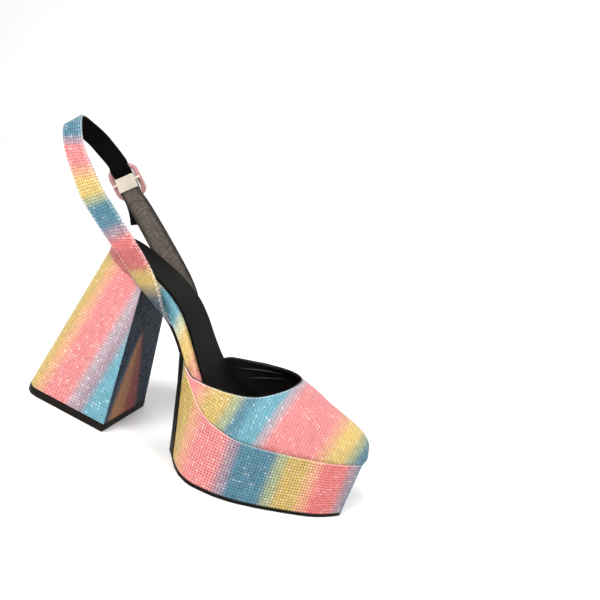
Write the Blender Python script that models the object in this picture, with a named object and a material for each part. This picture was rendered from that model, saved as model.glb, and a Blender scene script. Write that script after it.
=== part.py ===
"""Platform heel: a right shoe with a closed square toe, a tall flared heel and an ankle strap.

X runs from the heel to the toe, Y from the outer side of the foot to its inner side, Z up.
The floor is z = 0, and the origin lies on it under the middle of the heel, in metres.
"""
import math

import bmesh
import bpy
import numpy as np
from mathutils import Vector

# Driving dimensions of the last and the footbed
FOOT_LENGTH = 0.2335        # footbed, seat back to toe, measured along the floor
SEAT_OVERHANG = 0.003       # the seat's back lies this far behind the origin
BALL_WIDTH = 0.0775         # footbed across the ball of the foot
SEAT_HEIGHT = 0.1366        # top of the footbed at the back of the seat
FOREPART_HEIGHT = 0.0500    # top of the footbed under the ball
FOOTBED_WAIST = 0.0112      # depth of the footbed's side at the waist and seat
FOOTBED_FOREPART = 0.0045   # depth of the footbed inside the upper
FOOTBED_EDGE = 0.0016       # rounding of the footbed's top edge
SEAT_ROUND = 0.025          # length of the seat's rounded back
TOE_ROUND = 0.026           # length of the toe's rounded corners
TOE_SWING = 0.0105          # how far the toe's middle swings to the inner side
SOCK_THICKNESS = 0.0013
SOCK_INSET = 0.0045

# Driving dimensions of the platform, the outsole and the heel
OUTSOLE_THICKNESS = 0.0026
PLATFORM_REAR_TOP = 0.0880      # station of the platform's rear face at its top
PLATFORM_REAR_FOOT = 0.0962     # the same at the outsole
PLATFORM_REAR_CORNER = 0.028    # length of the rounded rear corners at the outsole
PLATFORM_REAR_EDGE = 0.0022     # how much of that rounding the flat rear face cuts off
PLATFORM_TAPER = 0.0012         # how far the platform's foot draws in
HEEL_FOOT_BACK = 0.0297         # the heel's foot reaches this far behind the origin
HEEL_FOOT_FRONT = 0.0472        # station of the breast at the heel's foot
HEEL_BREAST_TOP = 0.0395        # station of the breast under the footbed
HEEL_FOOT_WIDTH = 0.0640        # across the breast at the heel's foot
HEEL_FOOT_TAPER = 0.0050        # how much narrower each side is towards the back
HEEL_CORNER = 0.016             # length of the rounded rear corners
TOP_PIECE_HEIGHT = 0.0060

# Driving dimensions of the upper
UPPER_WALL = 0.0018
WING_START = 0.0900         # station where the upper's wings begin
THROAT = 0.1680             # station of the collar's foremost point
THROAT_HEIGHT = 0.0860      # height of the ridge there
TOE_BULGE = 0.0016          # how far the toe swells out over its feather line
VAMP_FULLNESS = 2.4         # power of the vamp's sections: 2 is an ellipse, more is squarer

# Driving dimensions of the ankle strap and its buckle
STRAP_THICKNESS = 0.0022
STRAP_WIDTH = 0.0160
STRAP_BASE = 0.0555         # station of the middle of both strap bases
STRAP_BASE_LENGTH = 0.0310
STRAP_REACH = 0.1200        # how far the loop leans back from the bases
STRAP_RISE = 0.0980         # how high it rises above them
ANKLE_WIDTH = 0.0690        # across the loop
BUCKLE_LENGTH = 0.0260
BUCKLE_WIDTH = 0.0254
BUCKLE_RIM = 0.0042
BUCKLE_THICKNESS = 0.0030
BUCKLE_CORNER = 0.0070
BUCKLE_TILT = 0.33           # how much the frame lifts off the strap, as a slope
BAR_RADIUS = 0.0010
BAR_LENGTH = 0.0236
PLATE_LENGTH = 0.0116
PLATE_THICKNESS = 0.0007
PRONG_RADIUS = 0.0008
GAP = 0.0003                # between pieces that touch

# Shares of FOOT_LENGTH, and of the rise from the ball to the seat
FOOTBED_LINE = (
    # station, rise
    (0.000, 1.000), (0.056, 0.954), (0.141, 0.882), (0.227, 0.799), (0.270, 0.744),
    (0.313, 0.668), (0.355, 0.560), (0.398, 0.422), (0.442, 0.286), (0.484, 0.179),
    (0.527, 0.100), (0.569, 0.047), (0.621, 0.012), (0.677, 0.000), (1.000, -0.006),
)
# Shares of FOOT_LENGTH and BALL_WIDTH
FOOT_PLAN = (
    # station, outer side, inner side
    (0.000, 0.270, 0.285), (0.107, 0.283, 0.297), (0.206, 0.317, 0.310), (0.313, 0.329, 0.292),
    (0.398, 0.365, 0.283), (0.442, 0.402, 0.292), (0.484, 0.465, 0.323), (0.527, 0.529, 0.374),
    (0.569, 0.563, 0.413), (0.621, 0.558, 0.444), (0.677, 0.523, 0.454), (0.741, 0.445, 0.449),
    (0.826, 0.310, 0.419), (0.891, 0.194, 0.381), (0.946, 0.084, 0.348), (1.000, -0.052, 0.316),
)
# Shares of the length from the throat to the toe, and of the ridge's height over the feather line
VAMP_RIDGE = (
    # station, height
    (0.000, 1.000), (0.094, 0.956), (0.237, 0.881), (0.384, 0.790), (0.524, 0.723),
    (0.664, 0.658), (0.804, 0.586), (0.895, 0.516), (0.950, 0.445), (0.985, 0.365),
    (1.000, 0.270),
)
VAMP_BACK_SLOPE = 0.37      # how steeply the ridge line climbs behind the throat
# Shares of the length from the wing's tip to the throat, and of the throat's height
COLLAR_LINE = (
    # station, outer side, inner side
    (0.000, 0.000, 0.000), (0.100, 0.070, 0.090), (0.230, 0.290, 0.400), (0.430, 0.530, 0.640),
    (0.610, 0.660, 0.800), (0.760, 0.760, 0.900), (0.870, 0.860, 0.955), (0.960, 0.950, 0.985),
    (1.000, 1.000, 1.000),
)
# Shares of STRAP_REACH, STRAP_RISE, half ANKLE_WIDTH and STRAP_WIDTH
LONG_STRAP = (
    # back, up, out, width, tilt in degrees
    (0.060, 0.074, -0.877, 2.09, -19), (0.113, 0.161, -0.935, 2.04, -9),
    (0.190, 0.253, -0.971, 1.83, 3), (0.283, 0.340, -0.986, 1.53, 18),
    (0.427, 0.469, -1.000, 1.31, 36), (0.562, 0.592, -1.000, 1.31, 34),
    (0.672, 0.730, -0.993, 1.21, 26), (0.752, 0.837, -0.964, 1.13, 21),
    (0.806, 0.927, -0.899, 1.07, 22), (0.847, 0.993, -0.783, 1.05, 32),
    (0.920, 1.012, -0.400, 1.03, 42), (0.988, 1.004, 0.087, 1.02, 49),
    (1.010, 0.970, 0.522, 1.01, 55), (0.958, 0.918, 0.812, 1.00, 58),
    (0.886, 0.862, 0.905, 1.00, 54),
)
SHORT_STRAP = (
    # back, up, out, width, tilt in degrees
    (0.058, 0.060, 0.860, 1.80, -16), (0.125, 0.124, 0.925, 1.56, -1),
    (0.215, 0.204, 0.971, 1.37, 13), (0.314, 0.292, 1.000, 1.27, 24),
    (0.428, 0.400, 1.025, 1.17, 33), (0.555, 0.520, 1.035, 1.08, 42),
)
# Shares of the buckle's place in the loop, and the lie of the strap's end
BUCKLE_BACK = 0.699         # of STRAP_REACH
BUCKLE_UP = 0.666           # of STRAP_RISE
BUCKLE_OUT = 1.045          # of half ANKLE_WIDTH
BUCKLE_SLOPE = 46           # degrees below level, along the strap
BUCKLE_LEAN = 12            # degrees that the strap's upper edge leans out
# Shares of BUCKLE_LENGTH along, and of STRAP_THICKNESS outwards, in the buckle's own frame
LONG_STRAP_BUCKLE = (
    # along, outwards
    (-0.62, -1.75), (-0.43, -1.74), (-0.34, -1.34), (-0.18, 0.20), (0.00, 1.14), (0.24, 1.21),
    (0.52, 1.21),
)
TAIL_LENGTH = 0.0235        # past the buckle
TAIL_DROP = 18              # degrees that the loose tail hangs down more steeply

COLOURS = {
    # colour, roughness, metallic
    "glitter_weave": ((0.86, 0.52, 0.55), 0.45, 0.0),
    "black_leather": ((0.016, 0.015, 0.015), 0.45, 0.0),
    "black_rubber": ((0.035, 0.030, 0.028), 0.60, 0.0),
    "buckle_weave": ((0.80, 0.55, 0.55), 0.40, 0.0),
    "nickel": ((0.80, 0.76, 0.72), 0.25, 1.0),
}


class Curve:
    """Monotone cubic through stations and values: it never overshoots its rows."""

    def __init__(self, stations, values):
        self.x = np.asarray(stations, float)
        self.y = np.asarray(values, float)
        step = np.diff(self.x)
        rise = np.diff(self.y) / step
        self.slope = np.zeros_like(self.y)
        self.slope[0], self.slope[-1] = rise[0], rise[-1]
        for i in range(1, len(rise)):
            if rise[i - 1] * rise[i] > 0:
                a = 2 * step[i] + step[i - 1]
                b = step[i] + 2 * step[i - 1]
                self.slope[i] = (a + b) / (a / rise[i - 1] + b / rise[i])

    def __call__(self, at):
        at = min(max(at, self.x[0]), self.x[-1])
        i = min(int(np.searchsorted(self.x, at, side="right")) - 1, len(self.x) - 2)
        h = self.x[i + 1] - self.x[i]
        t = (at - self.x[i]) / h
        return float(self.y[i] * (1 + 2 * t) * (1 - t) ** 2 + self.slope[i] * h * t * (1 - t) ** 2
                     + self.y[i + 1] * t * t * (3 - 2 * t) + self.slope[i + 1] * h * t * t * (t - 1))


def column(table, index, scale=1.0, start=0.0):
    return [start + scale * row[index] for row in table]


SEAT_END = -SEAT_OVERHANG
TOE_END = FOOT_LENGTH - SEAT_OVERHANG
STATIONS = column(FOOT_PLAN, 0, FOOT_LENGTH, SEAT_END)
outer_side = Curve(STATIONS, column(FOOT_PLAN, 1, BALL_WIDTH))
inner_side = Curve(STATIONS, column(FOOT_PLAN, 2, BALL_WIDTH))
footbed_top = Curve(column(FOOTBED_LINE, 0, FOOT_LENGTH, SEAT_END),
                    column(FOOTBED_LINE, 1, SEAT_HEIGHT - FOREPART_HEIGHT, FOREPART_HEIGHT))
footbed_depth = Curve([SEAT_END, WING_START, WING_START + 0.2 * FOOT_LENGTH, TOE_END],
                      [FOOTBED_WAIST, FOOTBED_WAIST, FOOTBED_FOREPART, FOOTBED_FOREPART])
UPPER_STANDOFF = UPPER_WALL + 2 * GAP


def footbed_under(x):
    return footbed_top(x) - footbed_depth(x)


def slope_at(curve, x, reach=0.001):
    return (curve(x + reach) - curve(x - reach)) / (2 * reach)


def level_gap(curve, x, thickness=GAP):
    """Height that gives this thickness square to a sloping line."""
    return thickness * math.hypot(1.0, slope_at(curve, x))


def corner(distance, length, power):
    """1 at a corner's start and 0 at its end, along a superellipse."""
    share = min(max(distance / length, 0.0), 1.0)
    return (1.0 - share ** power) ** (1.0 / power)


def plan(x, grow=0.0):
    """Outer and inner edge of the footbed's outline, grown all round by one distance."""
    seat = corner(SEAT_END + SEAT_ROUND - x, SEAT_ROUND + grow, 2.0)
    toe = corner(x - TOE_END + TOE_ROUND, TOE_ROUND + grow, 2.5)
    middle = TOE_SWING * max(0.0, (x - WING_START) / (TOE_END - WING_START))
    edges = []
    for side, curve in ((-1, outer_side), (1, inner_side)):
        spread = curve(x) + grow * math.hypot(1.0, slope_at(curve, x))
        edges.append(middle + (side * spread - middle) * seat * toe)
    return edges


def spaced(start, end, count, start_length=0.0, end_length=0.0):
    """Stations from start to end, crowded into rounded ends of these lengths."""
    marks = []
    if start_length:
        marks += [start + start_length * (1 - math.cos(a)) for a in np.linspace(0.12, 1.45, 6)]
    inner = np.linspace(start + start_length, end - end_length, count)
    marks += list(inner)
    if end_length:
        marks += [end - end_length * (1 - math.sin(a)) for a in np.linspace(0.2, 1.46, 7)]
    return marks


def material(name):
    found = bpy.data.materials.get(name)
    if found:
        return found
    colour, roughness, metallic = COLOURS[name]
    made = bpy.data.materials.new(name)
    made.use_nodes = True
    shader = made.node_tree.nodes["Principled BSDF"]
    shader.inputs["Base Color"].default_value = (*colour, 1.0)
    shader.inputs["Roughness"].default_value = roughness
    shader.inputs["Metallic"].default_value = metallic
    made.diffuse_color = (*colour, 1.0)
    return made


def add_object(name, points, faces, material_name, sharp_degrees=35, split=False):
    mesh = bpy.data.meshes.new(name)
    work = bmesh.new()
    vertices = [work.verts.new(p) for p in points]
    for face in faces:
        work.faces.new([vertices[i] for i in face])
    bmesh.ops.remove_doubles(work, verts=work.verts, dist=1e-6)
    bmesh.ops.recalc_face_normals(work, faces=work.faces)
    if split:
        bmesh.ops.triangulate(work, faces=work.faces, quad_method="SHORT_EDGE")
    work.to_mesh(mesh)
    work.free()
    mesh.shade_smooth()
    mesh.set_sharp_from_angle(angle=math.radians(sharp_degrees))
    mesh.materials.append(material(material_name))
    made = bpy.data.objects.new(name, mesh)
    bpy.context.collection.objects.link(made)
    return made


def block(name, first, second, material_name, sharp_degrees=35):
    """Closed solid between two grids of points, each a row of stations with a column of levels."""
    rows = [list(a) + list(reversed(b)) for a, b in zip(first, second)]
    around = len(rows[0])
    points = [p for row in rows for p in row]
    faces = []
    for i in range(len(rows) - 1):
        for j in range(around):
            k = (j + 1) % around
            faces.append((i * around + j, i * around + k, (i + 1) * around + k, (i + 1) * around + j))
    last = (len(rows) - 1) * around
    for j in range(around // 2 - 1):
        cap = (j, j + 1, around - 2 - j, around - 1 - j)
        faces.append(cap)
        faces.append(tuple(last + k for k in cap))
    return add_object(name, points, faces, material_name, sharp_degrees)


def make_footbed():
    """Insole board wrapped in the glitter weave, with a rounded top edge."""
    rounding = ((0.0, 1.0), (0.3, 0.3), (1.0, 0.0))      # shares of FOOTBED_EDGE: down, in
    outer, inner = [], []
    for x in spaced(SEAT_END, TOE_END, 34, SEAT_ROUND, TOE_ROUND):
        low, high = footbed_under(x), footbed_top(x)
        columns = []
        for edge in range(2):
            y = plan(x)[edge]
            sign = (-1, 1)[edge]
            half = abs(plan(x)[1] - plan(x)[0]) / 2
            levels = [(x, y, low)]
            for down, inwards in reversed(rounding):
                inset = min(inwards * FOOTBED_EDGE, half * 0.6)
                levels.append((x, y - sign * inset, high - down * FOOTBED_EDGE))
            columns.append(levels)
        outer.append(columns[0])
        inner.append(columns[1])
    return block("footbed", outer, inner, "glitter_weave")


def make_sock():
    """Black lining sheet on the footbed, set in from its edge."""
    outer, inner = [], []
    for x in spaced(SEAT_END + SOCK_INSET, TOE_END - SOCK_INSET, 34,
                    SEAT_ROUND - SOCK_INSET, TOE_ROUND - SOCK_INSET):
        low = footbed_top(x) + level_gap(footbed_top, x)
        high = low + level_gap(footbed_top, x, SOCK_THICKNESS)
        near, far = plan(x, -SOCK_INSET)
        outer.append([(x, near, low), (x, near, high)])
        inner.append([(x, far, low), (x, far, high)])
    return block("sock_lining", outer, inner, "black_leather")


def platform_station(share, level):
    """Station of one side column of the platform: level 0 is the outsole, 1 the footbed."""
    rear = PLATFORM_REAR_FOOT + PLATFORM_REAR_EDGE
    rear += (PLATFORM_REAR_TOP - rear) * level
    front = TOE_END + UPPER_STANDOFF - PLATFORM_TAPER * (1 - level)
    return rear + (front - rear) * share


def platform_foot_edges(x):
    """Outline of the platform's foot, with round rear corners."""
    start = PLATFORM_REAR_FOOT + PLATFORM_REAR_CORNER
    rounding = corner(start - x, PLATFORM_REAR_CORNER, 2.2)
    near, far = plan(x, UPPER_STANDOFF - PLATFORM_TAPER)
    return near * rounding, far * rounding


def platform_top_edges(x):
    """Outline under the footbed: flush with it at the waist, with the upper further on."""
    share = min(max((x - PLATFORM_REAR_TOP) / (0.08 * FOOT_LENGTH), 0.0), 1.0)
    return plan(x, UPPER_STANDOFF * share)


PLATFORM_FOOT = OUTSOLE_THICKNESS + GAP
PLATFORM_LEVELS = (0.0, 0.25, 0.5, 0.75, 1.0)


def platform_column(share, side):
    foot_x = platform_station(share, 0.0)
    top_x = platform_station(share, 1.0)
    foot = Vector((foot_x, platform_foot_edges(foot_x)[side], PLATFORM_FOOT))
    top_z = footbed_under(top_x) - level_gap(footbed_under, top_x)
    top = Vector((top_x, platform_top_edges(top_x)[side], top_z))
    return [foot.lerp(top, level) for level in PLATFORM_LEVELS]


def platform_shares():
    length = TOE_END - PLATFORM_REAR_FOOT
    return spaced(0.0, 1.0, 24, PLATFORM_REAR_CORNER / length, TOE_ROUND / length)


def make_platform():
    shares = [0.0] + platform_shares()
    outer = [platform_column(share, 0) for share in shares]
    inner = [platform_column(share, 1) for share in shares]
    return block("platform", outer, inner, "glitter_weave")


def offset_path(path, distance):
    """Points of a path in the XZ plane, moved to its right-hand side with mitred corners."""
    moved = []
    for i, (x, z) in enumerate(path):
        before = Vector(path[i]) - Vector(path[max(i - 1, 0)])
        after = Vector(path[min(i + 1, len(path) - 1)]) - Vector(path[i])
        before = before.normalized() if before.length else after.normalized()
        after = after.normalized() if after.length else before
        normal = Vector((before.y + after.y, -before.x - after.x)).normalized()
        mitre = distance / max(normal.dot(Vector((after.y, -after.x))), 0.5)
        moved.append((x + normal.x * mitre, z + normal.y * mitre))
    return moved


def make_outsole():
    """One thin sheet: under the waist, down the platform's rear face and under its foot."""
    path, edges = [], []
    breast = HEEL_BREAST_TOP + 2 * GAP
    for x in np.linspace(breast, PLATFORM_REAR_TOP - OUTSOLE_THICKNESS, 13):
        path.append((x, footbed_under(x) - level_gap(footbed_under, x)))
        edges.append(plan(x, -OUTSOLE_THICKNESS / 3))
    rear = list(zip(platform_column(0.0, 0), platform_column(0.0, 1)))
    for near, far in reversed(rear[:-1]):
        path.append((near.x - GAP, near.z))
        edges.append((near.y, far.y))
    path[-1] = (path[-1][0], OUTSOLE_THICKNESS)
    for share in platform_shares():
        x = platform_station(share, 0.0)
        path.append((x, OUTSOLE_THICKNESS))
        edges.append(platform_foot_edges(x))
    under = offset_path(path, OUTSOLE_THICKNESS)
    under[0] = (breast + GAP, path[0][1] - level_gap(footbed_under, breast, OUTSOLE_THICKNESS))
    outer = [[(a[0], e[0], a[1]), (b[0], e[0], b[1])] for a, b, e in zip(under, path, edges)]
    inner = [[(a[0], e[1], a[1]), (b[0], e[1], b[1])] for a, b, e in zip(under, path, edges)]
    return block("outsole", outer, inner, "black_rubber")


def heel_foot_edge(x, grow=0.0):
    """Half width of the heel's foot: a flat breast, straight sides and round rear corners."""
    back = -HEEL_FOOT_BACK
    share = (HEEL_FOOT_FRONT - x) / (HEEL_FOOT_FRONT - back)
    half = HEEL_FOOT_WIDTH / 2 - HEEL_FOOT_TAPER * share + grow
    return half * corner(back + HEEL_CORNER - x, HEEL_CORNER + grow, 2.4)


def heel_shares():
    length = HEEL_FOOT_BACK + HEEL_FOOT_FRONT
    return spaced(0.0, 1.0, 9, 1.6 * HEEL_CORNER / length)


def make_heel_block():
    levels = (0.0, 0.33, 0.67, 1.0)
    outer, inner = [], []
    for share in heel_shares():
        foot_x = -HEEL_FOOT_BACK + share * (HEEL_FOOT_BACK + HEEL_FOOT_FRONT)
        top_x = SEAT_END + share * (HEEL_BREAST_TOP - SEAT_END)
        top_z = footbed_under(top_x) - level_gap(footbed_under, top_x)
        for side, grid in ((0, outer), (1, inner)):
            sign = (-1, 1)[side]
            foot = Vector((foot_x, sign * heel_foot_edge(foot_x), TOP_PIECE_HEIGHT + GAP))
            top = Vector((top_x, plan(top_x)[side], top_z))
            grid.append([foot.lerp(top, level) for level in levels])
    return block("heel_block", outer, inner, "glitter_weave")


def make_heel_top_piece():
    grow = 0.0004
    outer, inner = [], []
    for share in heel_shares():
        x = -HEEL_FOOT_BACK - grow + share * (HEEL_FOOT_BACK + HEEL_FOOT_FRONT + 2 * grow)
        half = heel_foot_edge(x, grow)
        outer.append([(x, -half, 0.0), (x, -half, TOP_PIECE_HEIGHT)])
        inner.append([(x, half, 0.0), (x, half, TOP_PIECE_HEIGHT)])
    return block("heel_top_piece", outer, inner, "black_rubber")


UPPER_END = TOE_END + UPPER_STANDOFF
vamp_ridge = Curve(column(VAMP_RIDGE, 0, UPPER_END - THROAT, THROAT), column(VAMP_RIDGE, 1))
COLLAR_STATIONS = column(COLLAR_LINE, 0, THROAT - WING_START, WING_START)
collar_heights = (Curve(COLLAR_STATIONS, column(COLLAR_LINE, 1)),
                  Curve(COLLAR_STATIONS, column(COLLAR_LINE, 2)))


def ridge_height(x):
    """Height of the vamp's ridge over the feather line, and of its ghost behind the throat."""
    throat = THROAT_HEIGHT - footbed_under(THROAT)
    if x >= THROAT:
        return throat * vamp_ridge(x)
    return THROAT_HEIGHT + VAMP_BACK_SLOPE * (THROAT - x) - footbed_under(x)


def vamp_point(x, side, angle):
    """Point of the upper's outer face: angle 0 is the feather line and 90 degrees the ridge."""
    ridge_y = TOE_SWING * max(0.0, (x - WING_START) / (UPPER_END - WING_START))
    edge = plan(x, UPPER_STANDOFF)[side]
    power = 2.0 / VAMP_FULLNESS
    y = ridge_y + (edge - ridge_y) * abs(math.cos(angle)) ** power
    z = footbed_under(x) + ridge_height(x) * abs(math.sin(angle)) ** power
    front = max(0.0, (x - THROAT) / (UPPER_END - THROAT)) ** 4
    bulge = TOE_BULGE * front * math.sin(math.pi * min(abs(math.sin(angle)) ** power / 0.9, 1.0))
    return Vector((x + bulge, y, z))


def collar_angle(x, side):
    """Angle at which the collar cuts a section of the vamp: 90 degrees from the throat on."""
    if x >= THROAT:
        return math.pi / 2
    throat = THROAT_HEIGHT - footbed_under(THROAT)
    height = throat * collar_heights[side](x)
    return math.asin(min(height / ridge_height(x), 1.0) ** (VAMP_FULLNESS / 2))


def vamp_rows():
    """Feather and top station of each row; round the throat the rows fan out between them."""
    steps = 6
    behind = 0.011
    before = 0.004
    rows = [(x, x) for x in np.linspace(WING_START + 0.002, THROAT - behind, 13)]
    for i in range(1, steps + 1):
        share = i / steps
        rows.append((THROAT - behind + (behind + before) * share, THROAT - behind * (1 - share) ** 2))
    for x in spaced(THROAT, UPPER_END, 9, 0.0, TOE_ROUND)[1:]:
        rows.append((x + before * (UPPER_END - x) / (UPPER_END - THROAT), x))
    return rows


def make_upper(levels=11):
    """Hollow vamp: the outer face, thickened inwards by its wall."""
    rows = []
    for foot_x, top_x in vamp_rows():
        half = []
        for side in (0, 1):
            top = collar_angle(top_x, side)
            shares = [(i / (levels - 1)) for i in range(levels)]
            half.append([vamp_point(foot_x + (top_x - foot_x) * share, side, top * share ** 0.85)
                         for share in shares])
        rows.append(half[0] + list(reversed(half[1])))
    points = [p for row in rows for p in row]
    across = 2 * levels
    faces = []
    for i in range(len(rows) - 1):
        for j in range(across - 1):
            if j != levels - 1:
                a = i * across + j
                faces.append((a, a + 1, a + across + 1, a + across))
    last = (len(rows) - 1) * across
    for j in range(levels - 1):
        a, b = last + j, last + across - 1 - j
        faces.append((a, a + 1, b - 1, b) if j < levels - 2 else (a, a + 1, b))
    made = add_object("upper", points, faces, "glitter_weave", 50, split=True)
    if made.data.polygons[0].normal.y > 0:
        made.data.flip_normals()
    wall = made.modifiers.new("wall", "SOLIDIFY")
    wall.thickness = UPPER_WALL
    wall.offset = -1.0
    wall.use_even_offset = True
    wall.use_quality_normals = True
    return made


def catmull(points, per_span):
    """Smooth curve through points, with this many steps between each pair."""
    points = [Vector(p) for p in points]
    ends = [2 * points[0] - points[1]] + points + [2 * points[-1] - points[-2]]
    made = []
    for i in range(1, len(ends) - 2):
        p0, p1, p2, p3 = ends[i - 1:i + 3]
        for step in range(per_span):
            t = step / per_span
            made.append(0.5 * (2 * p1 + (p2 - p0) * t + (2 * p0 - 5 * p1 + 4 * p2 - p3) * t * t
                               + (3 * p1 - p0 - 3 * p2 + p3) * t ** 3))
    made.append(points[-1])
    return made


def strap_base(side, grow):
    """Foot of a strap: it stands against the lower edge of the footbed's side."""
    ends = []
    for share in (-0.5, 0.5):
        x = STRAP_BASE + share * STRAP_BASE_LENGTH
        y = plan(x, grow)[side]
        ends.append(Vector((x, y, footbed_under(x) + GAP)))
    return ends


def strap_rows(table):
    """Lower and upper edge of a strap at each row of its table."""
    base_z = footbed_under(STRAP_BASE)
    rows = []
    for back, up, out, width, tilt in table:
        centre = Vector((STRAP_BASE - back * STRAP_REACH, out * ANKLE_WIDTH / 2,
                         base_z + up * STRAP_RISE))
        turn = math.radians(tilt)
        lean = math.copysign(math.sin(math.radians(BUCKLE_LEAN)) * abs(out), out)
        half = Vector((math.cos(turn), lean, math.sin(turn))) * (width * STRAP_WIDTH / 2)
        rows.append((centre - half, centre + half))
    return rows


def buckle_axes():
    """Centre of the buckle and its own directions: along the strap, across it and outwards."""
    centre = Vector((STRAP_BASE - BUCKLE_BACK * STRAP_REACH, BUCKLE_OUT * ANKLE_WIDTH / 2,
                     footbed_under(STRAP_BASE) + BUCKLE_UP * STRAP_RISE))
    slope, lean = math.radians(BUCKLE_SLOPE), math.radians(BUCKLE_LEAN)
    along = Vector((math.cos(slope), 0.0, -math.sin(slope)))
    across = Vector((math.sin(slope) * math.cos(lean), math.sin(lean), math.cos(slope) * math.cos(lean)))
    return centre, along, across, across.cross(along)


def at_buckle(along, across, outwards):
    centre, a, c, n = buckle_axes()
    return centre + a * along + c * across + n * outwards


def ribbon(name, rows, per_span=4):
    """Flat strap through its rows of lower and upper edges, with its real thickness."""
    low = catmull([row[0] for row in rows], per_span)
    high = catmull([row[1] for row in rows], per_span)
    outer, inner = [], []
    for i, (a, b) in enumerate(zip(low, high)):
        before, after = max(i - 1, 0), min(i + 1, len(low) - 1)
        travel = (low[after] + high[after]) - (low[before] + high[before])
        normal = travel.cross(b - a).normalized() * (STRAP_THICKNESS / 2)
        line = [a, a.lerp(b, 0.5), b]
        outer.append([p + normal for p in line])
        inner.append([p - normal for p in line])
    return block(name, outer, inner, "glitter_weave")


def make_long_strap():
    """From the outer side of the waist, round behind the ankle and through the buckle."""
    rows = [tuple(strap_base(0, GAP + STRAP_THICKNESS / 2))]
    rows += strap_rows(LONG_STRAP)
    half = STRAP_WIDTH / 2
    for along, outwards in LONG_STRAP_BUCKLE:
        place = (along * BUCKLE_LENGTH, outwards * STRAP_THICKNESS)
        rows.append((at_buckle(place[0], -half, place[1]), at_buckle(place[0], half, place[1])))
    drop = math.radians(TAIL_DROP)
    start = LONG_STRAP_BUCKLE[-1][0] * BUCKLE_LENGTH
    out = LONG_STRAP_BUCKLE[-1][1] * STRAP_THICKNESS
    for share in (0.5, 1.0):
        turn = drop * share
        run = share * TAIL_LENGTH
        place = (start + run * math.cos(turn), -run * math.sin(turn) / 2)
        edge = (math.sin(turn) * half, math.cos(turn) * half)
        rows.append((at_buckle(place[0] - edge[0], place[1] - edge[1], out),
                     at_buckle(place[0] + edge[0], place[1] + edge[1], out)))
    made = ribbon("strap_long", rows)
    start, knee, tip = prong_line()
    cutter = rod("prong_hole", [start, knee], 2 * PRONG_RADIUS, "nickel")
    cutter.hide_render = True
    cutter.display_type = "WIRE"
    hole = made.modifiers.new("prong_hole", "BOOLEAN")
    hole.operation = "DIFFERENCE"
    hole.object = cutter
    return made


def make_short_strap():
    """From the inner side of the waist up to the buckle's bar."""
    rows = [tuple(strap_base(1, GAP + STRAP_THICKNESS / 2))]
    rows += strap_rows(SHORT_STRAP)
    half = STRAP_WIDTH / 2
    for along in (0.40, 0.22):
        rows.append((at_buckle(along * BUCKLE_LENGTH, -half, 0), at_buckle(along * BUCKLE_LENGTH, half, 0)))
    end = BAR_RADIUS + GAP
    rows.append((at_buckle(end, -half, 0), at_buckle(end, half, 0)))
    return ribbon("strap_short", rows)


def rod(name, path, radius, material_name, sides=12):
    """Round bar along a path of points."""
    points, count = [], len(path)
    for i, place in enumerate(path):
        travel = path[min(i + 1, count - 1)] - path[max(i - 1, 0)]
        side = buckle_axes()[2].cross(travel)
        side = side.normalized() if side.length > 1e-9 else travel.orthogonal().normalized()
        other = travel.normalized().cross(side)
        for turn in range(sides):
            angle = 2 * math.pi * turn / sides
            points.append(place + (side * math.cos(angle) + other * math.sin(angle)) * radius)
    faces = []
    for i in range(count - 1):
        for j in range(sides):
            k = (j + 1) % sides
            faces.append((i * sides + j, i * sides + k, (i + 1) * sides + k, (i + 1) * sides + j))
    faces += [tuple(range(sides)), tuple(range((count - 1) * sides, count * sides))]
    return add_object(name, points, faces, material_name)


def frame_height(along):
    """Distance of the frame's inner face from the strap's middle, which grows along the strap."""
    return BAR_RADIUS + GAP + BUCKLE_TILT * along


def make_buckle_frame(corner_steps=5):
    """Rounded rectangular ring, with its edges taken off."""
    half_length, half_width = BUCKLE_LENGTH / 2, BUCKLE_WIDTH / 2
    path = []
    for quarter, (sx, sy) in enumerate(((1, 1), (-1, 1), (-1, -1), (1, -1))):
        for step in range(corner_steps + 1):
            turn = (quarter + step / corner_steps) * math.pi / 2
            path.append((Vector((sx * (half_length - BUCKLE_CORNER), sy * (half_width - BUCKLE_CORNER))),
                         Vector((math.cos(turn), math.sin(turn)))))
    edge = 0.25
    section = ((edge, 0), (1 - edge, 0), (1, edge), (1, 1 - edge), (1 - edge, 1), (edge, 1),
               (0, 1 - edge), (0, edge))
    points = []
    for centre, outwards in path:
        for across, up in section:
            place = centre + outwards * (BUCKLE_CORNER - across * BUCKLE_RIM)
            points.append(at_buckle(place.x, place.y, frame_height(place.x) + up * BUCKLE_THICKNESS))
    count, around = len(path), len(section)
    faces = []
    for i in range(count):
        for j in range(around):
            k, n = (j + 1) % around, (i + 1) % count
            faces.append((i * around + j, i * around + k, n * around + k, n * around + j))
    return add_object("buckle_frame", points, faces, "buckle_weave", 50)


def make_buckle_bar():
    half = BAR_LENGTH / 2
    return rod("buckle_bar", [at_buckle(0, -half, 0), at_buckle(0, half, 0)], BAR_RADIUS, "nickel")


def make_buckle_plate():
    """Metal plate on the inner side, over the bar and the end of the short strap."""
    top = -max(STRAP_THICKNESS / 2, BAR_RADIUS) - GAP
    half = STRAP_WIDTH / 2
    first, second = [], []
    for along, inset in ((-0.37, 0.0006), (-0.32, 0.0), (0.58, 0.0), (0.63, 0.0006)):
        row = [at_buckle(along * PLATE_LENGTH, side * (half - inset), top) for side in (-1, 1)]
        low = [at_buckle(along * PLATE_LENGTH, side * (half - inset), top - PLATE_THICKNESS)
               for side in (-1, 1)]
        first.append([low[0], row[0]])
        second.append([low[1], row[1]])
    return block("buckle_plate", first, second, "nickel")


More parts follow.
